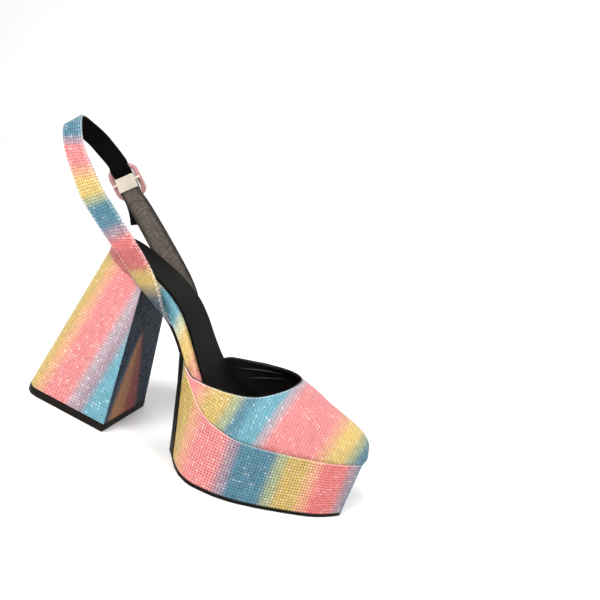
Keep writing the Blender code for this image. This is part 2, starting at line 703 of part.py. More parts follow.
def prong_line():
    """Middle line of the prong: from the bar, through the long strap and onto the frame's rim."""
    start = -(BAR_RADIUS + GAP + PRONG_RADIUS)
    knee = -(BUCKLE_LENGTH / 2 - BUCKLE_RIM)
    tip = -(BUCKLE_LENGTH / 2 - 0.3 * BUCKLE_RIM)
    over = BUCKLE_THICKNESS + 1.2 * (GAP + PRONG_RADIUS)
    return (at_buckle(start, 0, 0), at_buckle(knee, 0, frame_height(knee) + over),
            at_buckle(tip, 0, frame_height(tip) + over))


def make_buckle_prong():
    return rod("buckle_prong", prong_line(), PRONG_RADIUS, "nickel", 8)


def main():
    for old in list(bpy.data.objects):
        bpy.data.objects.remove(old, do_unlink=True)
    make_footbed()
    make_sock()
    make_platform()
    make_outsole()
    make_heel_block()
    make_heel_top_piece()
    make_upper()
    make_long_strap()
    make_short_strap()
    make_buckle_frame()
    make_buckle_bar()
    make_buckle_plate()
    make_buckle_prong()


main()
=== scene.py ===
"""Looks of the platform heel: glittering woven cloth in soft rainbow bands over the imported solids."""

import math

import bmesh
import bpy
import numpy as np
from mathutils import Matrix, Vector


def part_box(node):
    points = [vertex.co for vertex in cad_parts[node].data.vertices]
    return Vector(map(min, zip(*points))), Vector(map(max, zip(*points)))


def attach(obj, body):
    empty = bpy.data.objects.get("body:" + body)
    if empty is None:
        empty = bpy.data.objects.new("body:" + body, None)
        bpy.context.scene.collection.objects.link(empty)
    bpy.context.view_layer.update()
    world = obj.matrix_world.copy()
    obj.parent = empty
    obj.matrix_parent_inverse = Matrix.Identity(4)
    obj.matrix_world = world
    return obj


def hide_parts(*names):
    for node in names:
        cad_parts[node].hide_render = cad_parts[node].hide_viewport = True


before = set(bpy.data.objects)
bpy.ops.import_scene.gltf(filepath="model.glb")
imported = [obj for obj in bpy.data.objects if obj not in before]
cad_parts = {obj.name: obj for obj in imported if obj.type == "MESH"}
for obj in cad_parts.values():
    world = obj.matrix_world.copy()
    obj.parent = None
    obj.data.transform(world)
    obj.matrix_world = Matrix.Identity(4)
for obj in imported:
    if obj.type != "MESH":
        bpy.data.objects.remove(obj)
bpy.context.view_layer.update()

MM = 0.001

# Sizes that the solids share, in metres: what the frame's boxes don't say is repeated from the part
FOOT_LENGTH = 233.5 * MM
SEAT_OVERHANG = 3 * MM
BALL_WIDTH = 77.5 * MM
SEAT_HEIGHT = 136.6 * MM
FOREPART_HEIGHT = 50 * MM
FOOTBED_WAIST = 11.2 * MM
FOOTBED_FOREPART = 4.5 * MM
SEAT_ROUND = 25 * MM
TOE_ROUND = 26 * MM
TOE_SWING = 10.5 * MM
SOCK_INSET = 4.5 * MM
SOCK_THICKNESS = 1.3 * MM
GAP = 0.3 * MM
OUTSOLE_THICKNESS = 2.6 * MM
PLATFORM_REAR_TOP = 88 * MM
PLATFORM_REAR_FOOT = 96.2 * MM
PLATFORM_REAR_CORNER = 28 * MM
PLATFORM_REAR_EDGE = 2.2 * MM
PLATFORM_TAPER = 1.2 * MM
HEEL_FOOT_BACK = 29.7 * MM
HEEL_FOOT_FRONT = 47.2 * MM
HEEL_BREAST_TOP = 39.5 * MM
HEEL_FOOT_WIDTH = 64 * MM
HEEL_FOOT_TAPER = 5 * MM
HEEL_CORNER = 16 * MM
TOP_PIECE_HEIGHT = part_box("heel_top_piece")[1].z
UPPER_WALL = 1.8 * MM
UPPER_STANDOFF = UPPER_WALL + 2 * GAP
UPPER_END = FOOT_LENGTH - SEAT_OVERHANG + UPPER_STANDOFF
WING_START = 90 * MM
THROAT = 168 * MM
THROAT_HEIGHT = 86 * MM
TOE_BULGE = 1.6 * MM
VAMP_FULLNESS = 2.4
VAMP_BACK_SLOPE = 0.37
STRAP_THICKNESS = 2.2 * MM
STRAP_WIDTH = 16 * MM
STRAP_BASE = 55.5 * MM
STRAP_BASE_LENGTH = 31 * MM
STRAP_REACH = 120 * MM
STRAP_RISE = 98 * MM
ANKLE_WIDTH = 69 * MM
BUCKLE_LENGTH = 26 * MM
BUCKLE_WIDTH = 25.4 * MM
BUCKLE_RIM = 4.2 * MM
BUCKLE_THICKNESS = 3.0 * MM
BUCKLE_CORNER = 7 * MM
BUCKLE_TILT = 0.33
BAR_RADIUS = 1.0 * MM
BUCKLE_BACK, BUCKLE_UP, BUCKLE_OUT = 0.699, 0.666, 1.045
BUCKLE_SLOPE, BUCKLE_LEAN = math.radians(46), math.radians(12)
TAIL_LENGTH = 23.5 * MM
TAIL_DROP = math.radians(18)

# Sizes of the looks alone
WEAVE_PITCH = 2.2 * MM          # from one thread to the next, measured in the photo
FLAKE_WIDTH = 0.36 * MM
STITCH_PITCH = 3.2 * MM
STITCH_SHARE = 0.62             # of the pitch, that the stitch itself covers
STITCH_INSET = 1.7 * MM
STITCH_RADIUS = 0.22 * MM
STITCH_LIFT = 0.02 * MM
STITCH_START, STITCH_STOP = 6 * MM, 4 * MM      # bare length at a strap's foot and at its end
WELT_RADIUS = 0.45 * MM
COLLAR_EDGE_RADIUS = 0.42 * MM
LINING_EDGE_RADIUS = 0.5 * MM
FLAME_HALF_WIDTH = 28 * MM      # of the warm wedge on the heel's breast, at the floor
FLAME_TOP = 0.53                # share of the heel's height at which it ends
FLAME_OFFSET = 5 * MM
BAND_FAN = 14 * MM              # how far the bands lean at a strap's foot
BAND_FAN_LENGTH = 75 * MM
VAMP_BAND_LEAN = 0.2            # how far the vamp's bands lean back with height
VAMP_BAND_BASE = 51 * MM        # the height that their stations are given for
BAND_TURN = 228 * MM            # past this x the platform's bands follow its edge round the toe
WRAP_SHARE = 0.032              # how far the sole sheet turns round the platform's rear corners
WRAP_THICKNESS = 0.8 * MM
SIDE_SHOWS = (24 * MM, 4 * MM)  # of the footbed's side past the wing tips: outer, inner
MERGE_DISTANCE = 2e-6

# How much paler than its band the cloth is where it is turned or sewn
WELT_PALE, COLLAR_PALE, STRAP_EDGE_PALE, STITCH_PALE = 0.22, 0.30, 0.20, 0.35

# Tables of the part's shape: shares of the named sizes, as in the part's source
FOOTBED_LINE = (
    # station, rise
    (0.000, 1.000), (0.056, 0.954), (0.141, 0.882), (0.227, 0.799), (0.270, 0.744),
    (0.313, 0.668), (0.355, 0.560), (0.398, 0.422), (0.442, 0.286), (0.484, 0.179),
    (0.527, 0.100), (0.569, 0.047), (0.621, 0.012), (0.677, 0.000), (1.000, -0.006),
)
# Shares of FOOT_LENGTH and BALL_WIDTH
FOOT_PLAN = (
    # station, outer side, inner side
    (0.000, 0.270, 0.285), (0.107, 0.283, 0.297), (0.206, 0.317, 0.310), (0.313, 0.329, 0.292),
    (0.398, 0.365, 0.283), (0.442, 0.402, 0.292), (0.484, 0.465, 0.323), (0.527, 0.529, 0.374),
    (0.569, 0.563, 0.413), (0.621, 0.558, 0.444), (0.677, 0.523, 0.454), (0.741, 0.445, 0.449),
    (0.826, 0.310, 0.419), (0.891, 0.194, 0.381), (0.946, 0.084, 0.348), (1.000, -0.052, 0.316),
)

# Shares of the length from the throat to the toe, and of the ridge height over the feather line
VAMP_RIDGE = (
    # station, height
    (0.000, 1.000), (0.094, 0.956), (0.237, 0.881), (0.384, 0.790), (0.524, 0.723),
    (0.664, 0.658), (0.804, 0.586), (0.895, 0.516), (0.950, 0.445), (0.985, 0.365),
    (1.000, 0.270),
)

# Shares of the length from the wing tip to the throat, and of the throat height
COLLAR_LINE = (
    # station, outer side, inner side
    (0.000, 0.000, 0.000), (0.100, 0.070, 0.090), (0.230, 0.290, 0.400), (0.430, 0.530, 0.640),
    (0.610, 0.660, 0.800), (0.760, 0.760, 0.900), (0.870, 0.860, 0.955), (0.960, 0.950, 0.985),
    (1.000, 1.000, 1.000),
)

# Shares of STRAP_REACH, STRAP_RISE, half ANKLE_WIDTH and STRAP_WIDTH
LONG_STRAP = (
    # back, up, out, width, tilt in degrees
    (0.060, 0.074, -0.877, 2.09, -19), (0.113, 0.161, -0.935, 2.04, -9),
    (0.190, 0.253, -0.971, 1.83, 3), (0.283, 0.340, -0.986, 1.53, 18),
    (0.427, 0.469, -1.000, 1.31, 36), (0.562, 0.592, -1.000, 1.31, 34),
    (0.672, 0.730, -0.993, 1.21, 26), (0.752, 0.837, -0.964, 1.13, 21),
    (0.806, 0.927, -0.899, 1.07, 22), (0.847, 0.993, -0.783, 1.05, 32),
    (0.920, 1.012, -0.400, 1.03, 42), (0.988, 1.004, 0.087, 1.02, 49),
    (1.010, 0.970, 0.522, 1.01, 55), (0.958, 0.918, 0.812, 1.00, 58),
    (0.886, 0.862, 0.905, 1.00, 54),
)

SHORT_STRAP = (
    # back, up, out, width, tilt in degrees
    (0.058, 0.060, 0.860, 1.80, -16), (0.125, 0.124, 0.925, 1.56, -1),
    (0.215, 0.204, 0.971, 1.37, 13), (0.314, 0.292, 1.000, 1.27, 24),
    (0.428, 0.400, 1.025, 1.17, 33), (0.555, 0.520, 1.035, 1.08, 42),
)

# Shares of BUCKLE_LENGTH and STRAP_THICKNESS
LONG_STRAP_BUCKLE = (
    # along, outwards
    (-0.62, -1.75), (-0.43, -1.74), (-0.34, -1.34), (-0.18, 0.20), (0.00, 1.14), (0.24, 1.21),
    (0.52, 1.21),
)


class Curve:
    """Monotone cubic through stations and values: it never overshoots its rows."""

    def __init__(self, stations, values):
        self.x = np.asarray(stations, float)
        self.y = np.asarray(values, float)
        step = np.diff(self.x)
        rise = np.diff(self.y) / step
        self.slope = np.zeros_like(self.y)
        self.slope[0], self.slope[-1] = rise[0], rise[-1]
        for i in range(1, len(rise)):
            if rise[i - 1] * rise[i] > 0:
                a = 2 * step[i] + step[i - 1]
                b = step[i] + 2 * step[i - 1]
                self.slope[i] = (a + b) / (a / rise[i - 1] + b / rise[i])

    def __call__(self, at):
        at = min(max(at, self.x[0]), self.x[-1])
        i = min(int(np.searchsorted(self.x, at, side="right")) - 1, len(self.x) - 2)
        h = self.x[i + 1] - self.x[i]
        t = (at - self.x[i]) / h
        return float(self.y[i] * (1 + 2 * t) * (1 - t) ** 2 + self.slope[i] * h * t * (1 - t) ** 2
                     + self.y[i + 1] * t * t * (3 - 2 * t) + self.slope[i + 1] * h * t * t * (t - 1))


def column(table, index, scale=1.0, start=0.0):
    return [start + scale * row[index] for row in table]


SEAT_END = -SEAT_OVERHANG
TOE_END = FOOT_LENGTH - SEAT_OVERHANG
STATIONS = column(FOOT_PLAN, 0, FOOT_LENGTH, SEAT_END)
outer_side = Curve(STATIONS, column(FOOT_PLAN, 1, BALL_WIDTH))
inner_side = Curve(STATIONS, column(FOOT_PLAN, 2, BALL_WIDTH))
footbed_top = Curve(column(FOOTBED_LINE, 0, FOOT_LENGTH, SEAT_END),
                    column(FOOTBED_LINE, 1, SEAT_HEIGHT - FOREPART_HEIGHT, FOREPART_HEIGHT))
footbed_depth = Curve([SEAT_END, WING_START, WING_START + 0.2 * FOOT_LENGTH, TOE_END],
                      [FOOTBED_WAIST, FOOTBED_WAIST, FOOTBED_FOREPART, FOOTBED_FOREPART])


def footbed_under(x):
    return footbed_top(x) - footbed_depth(x)


def slope_at(curve, x, reach=0.001):
    return (curve(x + reach) - curve(x - reach)) / (2 * reach)


def level_gap(curve, x, thickness=GAP):
    """Height that gives this thickness square to a sloping line."""
    return thickness * math.hypot(1.0, slope_at(curve, x))


def corner(distance, length, power):
    """1 at a corner's start and 0 at its end, along a superellipse."""
    share = min(max(distance / length, 0.0), 1.0)
    return (1.0 - share ** power) ** (1.0 / power)


def plan(x, grow=0.0):
    """Outer and inner edge of the footbed's outline, grown all round by one distance."""
    seat = corner(SEAT_END + SEAT_ROUND - x, SEAT_ROUND + grow, 2.0)
    toe = corner(x - TOE_END + TOE_ROUND, TOE_ROUND + grow, 2.5)
    middle = TOE_SWING * max(0.0, (x - WING_START) / (TOE_END - WING_START))
    edges = []
    for side, curve in ((-1, outer_side), (1, inner_side)):
        spread = curve(x) + grow * math.hypot(1.0, slope_at(curve, x))
        edges.append(middle + (side * spread - middle) * seat * toe)
    return edges


def rounded(start, end, count, start_length=0.0, end_length=0.0):
    """Stations from start to end, crowded into rounded ends of these lengths."""
    marks = []
    if start_length:
        marks += [start + start_length * (1 - math.cos(a)) for a in np.linspace(0.03, 1.45, 22)]
    marks += list(np.linspace(start + start_length, end - end_length, count))
    if end_length:
        marks += [end - end_length * (1 - math.sin(a)) for a in np.linspace(0.08, 1.54, 26)]
    return marks


# Colours of the cloth's soft bands, as sRGB shares
HUES = {
    "pink": (0.945, 0.545, 0.542),
    "rose": (0.915, 0.470, 0.465),
    "coral": (0.800, 0.400, 0.390),
    "peach": (0.925, 0.655, 0.510),
    "yellow": (0.900, 0.765, 0.440),
    "gold": (0.820, 0.695, 0.375),
    "green": (0.650, 0.680, 0.520),
    "blue": (0.290, 0.505, 0.590),
    "sky": (0.405, 0.665, 0.735),
    "mauve": (0.650, 0.550, 0.600),
    "lilac": (0.735, 0.665, 0.700),
    "pale": (0.800, 0.825, 0.680),
    "olive": (0.560, 0.510, 0.400),
    "navy": (0.240, 0.310, 0.370),
    # ink and the two hues after it are the blue, yellow and pink bands darkened for the heel's breast:
    # painted shade, as navy is there
    "ink": (0.110, 0.175, 0.250),
    "shaded_orange": (0.660, 0.470, 0.330),
    "shaded_pink": (0.600, 0.330, 0.320),
}

# Stations of the bands in mm. On the sides that the photo hides, the same order of hues goes on.
PLATFORM_BANDS = (      # x along the outer side, then the distance on round the toe
    (88, "green"), (94, "gold"), (104, "gold"), (113, "peach"), (121, "pink"), (138, "pink"),
    (147, "mauve"), (154, "blue"), (172, "blue"), (180, "green"), (187, "gold"), (196, "gold"),
    (203, "peach"), (210, "rose"), (221, "rose"), (229, "mauve"), (236, "blue"), (250, "blue"),
    (262, "green"), (274, "gold"), (286, "peach"), (300, "pink"), (318, "pink"), (332, "mauve"),
    (346, "blue"), (366, "blue"), (382, "green"), (396, "gold"), (420, "pink"),
)
VAMP_BANDS = (          # x, taken back a little with height
    (92, "pink"), (101, "pink"), (109, "peach"), (118, "gold"), (127, "gold"), (134, "green"),
    (141, "blue"), (150, "sky"), (157, "sky"), (162, "lilac"), (169, "pink"), (178, "pink"),
    (188, "pink"), (197, "pink"), (204, "peach"), (211, "yellow"), (218, "yellow"),
    (224, "green"), (230, "blue"), (240, "blue"),
)
HEEL_BANDS = (          # distance from the heel's back edge
    (-4, "gold"), (9, "gold"), (17, "peach"), (24, "pink"), (38, "pink"),
    (46, "lilac"), (52, "mauve"), (60, "sky"), (80, "sky"),
)
# Bands of the heel's breast in darkened hues: painted shade on the face turned from the light. The
# flame's shape is the cloth's own pattern.
BREAST_BANDS = (        # shares of the flame's half width, from the outer side to the inner
    (-1.3, "ink"), (-0.9, "navy"), (-0.6, "shaded_orange"), (-0.1, "shaded_orange"),
    (0.2, "shaded_pink"), (0.5, "shaded_pink"), (0.9, "ink"), (1.5, "ink"),
)
FOOTBED_BANDS = (       # x along the side
    (-5, "coral"), (24, "coral"), (34, "peach"), (42, "yellow"), (50, "green"), (58, "sky"),
    (70, "sky"), (76, "pale"), (83, "yellow"), (89, "yellow"), (97, "peach"), (105, "pink"),
    (120, "mauve"), (135, "blue"), (160, "yellow"), (190, "pink"), (230, "blue"),
)
LONG_STRAP_BANDS = (    # distance along the strap from its base
    (-8, "navy"), (6, "navy"), (13, "olive"), (20, "gold"), (25, "gold"), (33, "coral"),
    (43, "coral"), (51, "rose"), (60, "mauve"), (68, "blue"), (81, "blue"), (87, "green"),
    (93, "yellow"), (101, "yellow"), (109, "peach"), (115, "pink"), (126, "pink"), (131, "mauve"),
    (137, "blue"), (156, "blue"), (166, "green"), (178, "yellow"), (190, "peach"), (202, "pink"),
    (216, "mauve"), (226, "blue"), (242, "blue"), (252, "green"), (262, "yellow"), (284, "pink"),
)
SHORT_STRAP_BANDS = (
    (0, "blue"), (14, "green"), (26, "yellow"), (40, "peach"), (56, "coral"), (76, "mauve"),
    (92, "blue"), (120, "green"),
)

# Shade of a strap's lining: light in its middle, dark at its seams and edges
LINING_SHADES = ((0.62, 1.0), (0.78, 0.62), (1.01, 0.30))       # up to this share of half the width


def linear(colour):
    """sRGB shares as the linear values that shaders and colour attributes hold."""
    return [c / 12.92 if c <= 0.04045 else ((c + 0.055) / 1.055) ** 2.4 for c in colour]


def band_colour(bands, place):
    """Colour at a place along a piece: soft steps between the named hues of its band table."""
    if place <= bands[0][0]:
        return linear(HUES[bands[0][1]])
    for (start, first), (end, second) in zip(bands, bands[1:]):
        if place <= end:
            share = (place - start) / (end - start)
            share = share * share * (3 - 2 * share)
            return [a + (b - a) * share
                    for a, b in zip(linear(HUES[first]), linear(HUES[second]))]
    return linear(HUES[bands[-1][1]])


def paler(colour, share):
    return [c + (1 - c) * share for c in colour]


def vamp_tint(point):
    return band_colour(VAMP_BANDS, (point[0] - VAMP_BAND_LEAN * (point[2] - VAMP_BAND_BASE)) / MM)


def no_tint(i, j, point):
    return (0, 0, 0)


class Nodes:
    """Short way to add and join the nodes of one material."""

    def __init__(self, name):
        self.material = bpy.data.materials.new(name)
        self.material.use_nodes = True
        self.tree = self.material.node_tree
        self.shader = self.tree.nodes["Principled BSDF"]

    def join(self, value, socket):
        if isinstance(value, bpy.types.NodeSocket):
            self.tree.links.new(value, socket)
        elif value is not None:
            socket.default_value = value

    def node(self, kind, *inputs, **named):
        """Outputs of a new node. A word with a capital names a socket, any other word a setting."""
        made = self.tree.nodes.new("ShaderNode" + kind)
        for key, value in named.items():
            if key[0].isupper():
                self.join(value, made.inputs[key])
            else:
                setattr(made, key, value)
        for socket, value in zip(made.inputs, inputs):
            self.join(value, socket)
        return made.outputs

    def maths(self, operation, *inputs):
        return self.node("Math", *inputs, operation=operation)[0]

    def vector(self, operation, *inputs):
        return self.node("VectorMath", *inputs, operation=operation)[0]

    def scaled(self, colour, factor):
        return self.vector("SCALE", colour, None, None, factor)

    def noise(self, vector, scale, detail=2.0, roughness=0.5):
        return self.node("TexNoise", Vector=vector, Scale=scale, Detail=detail,
                         Roughness=roughness)["Fac"]

    def place(self):
        return self.node("TexCoord")["Object"]

    def bands(self):
        return self.node("Attribute", attribute_name="bands")

    def ramp(self, value, *stops):
        node = self.tree.nodes.new("ShaderNodeValToRGB")
        self.join(value, node.inputs[0])
        ramp = node.color_ramp
        while len(ramp.elements) < len(stops):
            ramp.elements.new(0.5)
        for element, (position, grey) in zip(ramp.elements, stops):
            element.position = position
            element.color = (grey, grey, grey, 1.0)
        return node.outputs[0]

    def bump(self, height, strength, distance):
        return self.node("Bump", Height=height, Strength=strength, Distance=distance)[0]

    def finish(self, colour, normal=None, roughness=None, metallic=None, specular=None):
        for name, value in (("Base Color", colour), ("Normal", normal), ("Roughness", roughness),
                            ("Metallic", metallic), ("Specular IOR Level", specular)):
            self.join(value, self.shader.inputs[name])
        return self.material


def weave_material(name, pitch=WEAVE_PITCH, lift=1.0, hole=0.16, gloss=0.35, glitter=0.40):
    """Coarse plain weave of glitter yarn: threads over and under, dark holes between in painted shade,
    sparks partly painted as glints.
    """
    n = Nodes(name)
    place = n.place()
    cloth = n.node("SeparateXYZ", n.node("UVMap", uv_map="cloth")[0])
    turns = math.pi / pitch
    drift = n.maths("MULTIPLY", n.maths("SUBTRACT", n.noise(place, 90.0), 0.5), 1.3)
    u = n.maths("ADD", n.maths("MULTIPLY", cloth[0], turns), drift)
    v = n.maths("SUBTRACT", n.maths("MULTIPLY", cloth[1], turns), drift)
    cu, cv = n.maths("COSINE", u), n.maths("COSINE", v)

    def thread(own, other, sign):
        """A thread's round back, raised where it crosses over and sunk where it goes under."""
        back = n.maths("POWER", n.maths("ABSOLUTE", own), 1.2)
        rise = n.maths("MULTIPLY", n.maths("SIGN", own), other)
        rise = n.maths("MULTIPLY_ADD", rise, 0.28 * sign, 0.72)
        return n.maths("MULTIPLY", back, rise)

    height = n.maths("MAXIMUM", thread(cu, cv, 1), thread(cv, cu, -1))
    # darker on the threads' flanks and in the holes between them: painted shade in the weave's recesses,
    # hole being the share of brightness left there
    cover = n.ramp(height, (0.15, 0.0), (0.42, 0.46), (0.68, 0.91), (1.0, 1.05))
    shade = n.maths("MULTIPLY_ADD", cover, 1 - hole, hole)
    # glitter: flat flakes, each with its own brightness and lean
    flake = n.node("TexVoronoi", Vector=place, Scale=1 / FLAKE_WIDTH)["Color"]
    value = n.node("SeparateColor", flake)
    spark = n.ramp(value[0], (0.90, 0.0), (0.98, 1.0))
    # each crossing of the yarn has its own shade and lean, and a few of them flash as painted glints
    crossing = [n.maths("ROUND", n.maths("DIVIDE", turn, math.pi)) for turn in (u, v)]
    chance = n.node("TexWhiteNoise", noise_dimensions="2D",
                    Vector=n.node("CombineXYZ", *crossing)[0])
    flash = n.ramp(chance["Value"], (0.86, 0.0), (1.0, 1.0))
    flash = n.maths("MULTIPLY", flash, n.ramp(height, (0.60, 0.0), (0.90, 1.0)))
    sparkle = n.maths("MULTIPLY", n.maths("MAXIMUM", n.maths("MULTIPLY", spark, 0.6), flash), glitter)
    fleck = n.maths("MULTIPLY_ADD", value[1], 0.16, 0.82)
    fleck = n.maths("MULTIPLY_ADD", chance["Value"], 0.20, fleck)
    dim = n.maths("MULTIPLY", shade, fleck)
    colour = n.scaled(n.bands()["Color"], n.maths("MULTIPLY", dim, lift))
    # the sparkle mixes near-white into the base colour: painted glints, besides the real metallic flakes
    # that the metallic, roughness and leans give
    glint = n.node("Mix", data_type="RGBA", Factor=sparkle, A=colour, B=(1.0, 0.95, 0.90, 1.0))
    # both leans push the normal about, so the light catches a few flakes and crossings
    lean = n.vector("MULTIPLY_ADD", flake, (0.3, 0.3, 0.3), (-0.40, -0.40, -0.40))
    lean = n.vector("MULTIPLY_ADD", chance["Color"], (0.5, 0.5, 0.5), lean)
    normal = n.vector("NORMALIZE", n.vector("ADD", n.bump(height, 1.0, 0.45 * MM), lean))
    return n.finish(glint["Result"], normal, n.maths("MULTIPLY_ADD", sparkle, -0.22, 0.44),
                    n.maths("MULTIPLY", sparkle, 0.6), gloss)


def leather_material(name, colour, roughness, grain, gloss, edged_and_mottled=False):
    """Smooth lining leather: fine grain, faint creases and a little change in sheen."""
    n = Nodes(name)
    place = n.place()
    fine = n.noise(place, 900.0, 3.0, 0.6)
    broad = n.noise(place, 35.0, 3.0, 0.55)
    shade = n.maths("MULTIPLY_ADD", broad, 0.8, 0.6)
    # darker towards a strap's seams and edges, as its points' colour gives, and mottled at random
    if edged_and_mottled:
        shade = n.maths("MULTIPLY", shade, n.bands()["Fac"])
        blotch = n.noise(place, 420.0, 3.0, 0.7)
        shade = n.maths("MULTIPLY", shade, n.maths("MULTIPLY_ADD", blotch, 2.4, -0.2))
    height = n.maths("MULTIPLY_ADD", fine, 0.25, n.maths("MULTIPLY", broad, 2.0))
    rough = n.maths("MULTIPLY_ADD", broad, 0.22, roughness - 0.11)
    return n.finish(n.scaled(linear(colour), shade), n.bump(height, grain, 1 * MM), rough,
                    specular=gloss)


def rubber_material(name, colour):
    """Black sole sheet: matt, with scuffs that are a little lighter."""
    n = Nodes(name)
    place = n.place()
    cloud = n.noise(place, 60.0, 4.0, 0.6)
    grit = n.noise(place, 1500.0, 2.0, 0.6)
    tone = n.scaled(linear(colour), n.maths("MULTIPLY_ADD", cloud, 1.1, 0.5))
    rough = n.maths("MULTIPLY_ADD", cloud, 0.25, 0.42)
    return n.finish(tone, n.bump(grit, 0.25, 0.2 * MM), rough, specular=0.08)


def metal_material(name, colour):
    """Pale plated metal with a faint haze."""
    n = Nodes(name)
    haze = n.noise(n.place(), 240.0, 3.0, 0.6)
    tone = n.scaled(linear(colour), n.maths("MULTIPLY_ADD", haze, 0.16, 0.92))
    rough = n.maths("MULTIPLY_ADD", haze, 0.2, 0.26)
    return n.finish(tone, n.bump(haze, 0.05, 0.3 * MM), rough, 0.75)


def thread_material(name):
    """Sewing thread in the colour that its mesh carries."""
    n = Nodes(name)
    twist = n.noise(n.place(), 2500.0, 1.0)
    tone = n.scaled(n.bands()["Color"], n.maths("MULTIPLY_ADD", twist, 0.5, 0.8))
    return n.finish(tone, n.bump(twist, 0.4, 0.1 * MM), 0.6)


WEAVE = weave_material("glitter_weave_looks", lift=0.94)
SOFT_WEAVE = weave_material("soft_weave", lift=0.82, hole=0.56, gloss=0.5)
STRAP_WEAVE = weave_material("strap_weave", lift=0.89, hole=0.34)
# copy of the weave for the heel's breast, with its sheen and glitter all but gone: painted shade
BREAST_WEAVE = weave_material("shaded_weave", WEAVE_PITCH * 0.8, hole=0.35, gloss=0.05, glitter=0.05)
EDGE_WEAVE = weave_material("edge_weave", WEAVE_PITCH * 0.5, 1.3)
BUCKLE_WEAVE = weave_material("buckle_weave_looks", WEAVE_PITCH * 0.6)
LINING = leather_material("black_lining", (0.075, 0.065, 0.060), 0.40, 0.25, 0.3)
STRAP_LINING = leather_material("strap_lining", (0.330, 0.305, 0.280), 0.60, 0.3, 0.1, edged_and_mottled=True)
STRAP_BLACK = leather_material("strap_black", (0.040, 0.036, 0.033), 0.60, 0.15, 0.02)
SOCK = leather_material("sock_leather", (0.045, 0.040, 0.034), 0.50, 0.12, 0.03)
RUBBER = rubber_material("outsole_black", (0.070, 0.058, 0.050))
TOP_RUBBER = rubber_material("top_piece_black", (0.085, 0.066, 0.055))
NICKEL = metal_material("pale_nickel", (0.93, 0.88, 0.81))
THREAD = thread_material("stitch_thread")


def add_object(name, data):
    made = bpy.data.objects.new(name, data)
    bpy.context.collection.objects.link(made)
    return made


def add_mesh(name, points, faces, uvs, tints, materials, indices=None):
    """Mesh object with a 'cloth' UV per corner, a 'bands' colour per point and its materials."""
    mesh = bpy.data.meshes.new(name)
    mesh.from_pydata([tuple(p) for p in points], [], faces)
    mesh.update()
    layer = mesh.uv_layers.new(name="cloth")
    layer.data.foreach_set("uv", np.array(uvs, float).ravel())
    tint = mesh.color_attributes.new("bands", "FLOAT_COLOR", "POINT")
    rgba = np.ones((len(points), 4))
    rgba[:, :3] = np.array(tints, float).reshape(-1, 3)
    tint.data.foreach_set("color", rgba.ravel())
    for material in materials:
        mesh.materials.append(material)
    if indices is not None:
        mesh.polygons.foreach_set("material_index", indices)
    mesh.shade_smooth()
    return add_object(name, mesh)


def mend(mesh, merge=False, flatten=False):
    """Merges points that meet, then dissolves flat edges or turns the faces outwards."""
    work = bmesh.new()
    work.from_mesh(mesh)
    if merge:
        bmesh.ops.remove_doubles(work, verts=work.verts, dist=MERGE_DISTANCE)
    if flatten:
        bmesh.ops.dissolve_limit(work, angle_limit=math.radians(1.5), verts=work.verts,
                                 edges=work.edges)
    else:
        bmesh.ops.recalc_face_normals(work, faces=work.faces)
    work.to_mesh(mesh)
    work.free()


def lengths(grid, axis):
    """Running length along one axis of a grid of points."""
    steps = np.linalg.norm(np.diff(grid, axis=axis), axis=2)
    total = np.zeros(grid.shape[:2])
    if axis == 0:
        total[1:] = np.cumsum(steps, 0)
    else:
        total[:, 1:] = np.cumsum(steps, 1)
    return total


def grid_piece(name, grid, tint_at, materials, material_at=None, uv=None, closed=False, caps=False):
    """Surface over a grid of points: rows along the piece, columns across it."""
    grid = np.array(grid, float)
    rows, columns = grid.shape[:2]
    if uv is None:
        around = np.concatenate([grid, grid[:, :1]], 1) if closed else grid
        along = np.repeat(lengths(around, 0).mean(1)[:, None], around.shape[1], 1)
        uv = np.stack([along, lengths(around, 1)], 2)
    points = grid.reshape(-1, 3)
    tints = [tint_at(i, j, grid[i, j]) for i in range(rows) for j in range(columns)]
    faces, uvs, indices = [], [], []
    for i in range(rows - 1):
        for j in range(columns if closed else columns - 1):
            k = (j + 1) % columns
            faces.append((i * columns + j, i * columns + k, (i + 1) * columns + k, (i + 1) * columns + j))
            uvs += [uv[i, j], uv[i, j + 1], uv[i + 1, j + 1], uv[i + 1, j]]
            indices.append(material_at(i, j) if material_at else 0)
    if caps:
        for i in (0, rows - 1):
            faces.append(tuple(i * columns + j for j in range(columns)))
            uvs += [uv[i, j] for j in range(columns)]
            indices.append(0)
    made = add_mesh(name, points, faces, uvs, tints, materials, indices)
    mend(made.data)
    return made


def seat(piece, slot, *nodes):
    """The piece rides on the shoe and stands for these nodes."""
    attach(piece, "root")
    if nodes:
        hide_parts(*nodes)
    return piece


def carried_top(x):
    """Top of what carries the footbed at a station, one gap below it."""
    return footbed_under(x) - level_gap(footbed_under, x)


# Platform: the wrapped side, all the way round
def platform_station(share, level):
    rear = PLATFORM_REAR_FOOT + PLATFORM_REAR_EDGE
    rear += (PLATFORM_REAR_TOP - rear) * level
    front = UPPER_END - PLATFORM_TAPER * (1 - level)
    return rear + (front - rear) * share


def platform_foot_edges(x):
    start = PLATFORM_REAR_FOOT + PLATFORM_REAR_CORNER
    rounding = corner(start - x, PLATFORM_REAR_CORNER, 2.2)
    near, far = plan(x, UPPER_STANDOFF - PLATFORM_TAPER)
    return near * rounding, far * rounding


def platform_top_edges(x):
    share = min(max((x - PLATFORM_REAR_TOP) / (0.08 * FOOT_LENGTH), 0.0), 1.0)
    return plan(x, UPPER_STANDOFF * share)


def platform_column(share, side, levels):
    foot_x, top_x = platform_station(share, 0.0), platform_station(share, 1.0)
    foot = Vector((foot_x, platform_foot_edges(foot_x)[side], OUTSOLE_THICKNESS + GAP))
    top = Vector((top_x, platform_top_edges(top_x)[side], carried_top(top_x)))
    return [foot.lerp(top, level) for level in levels]


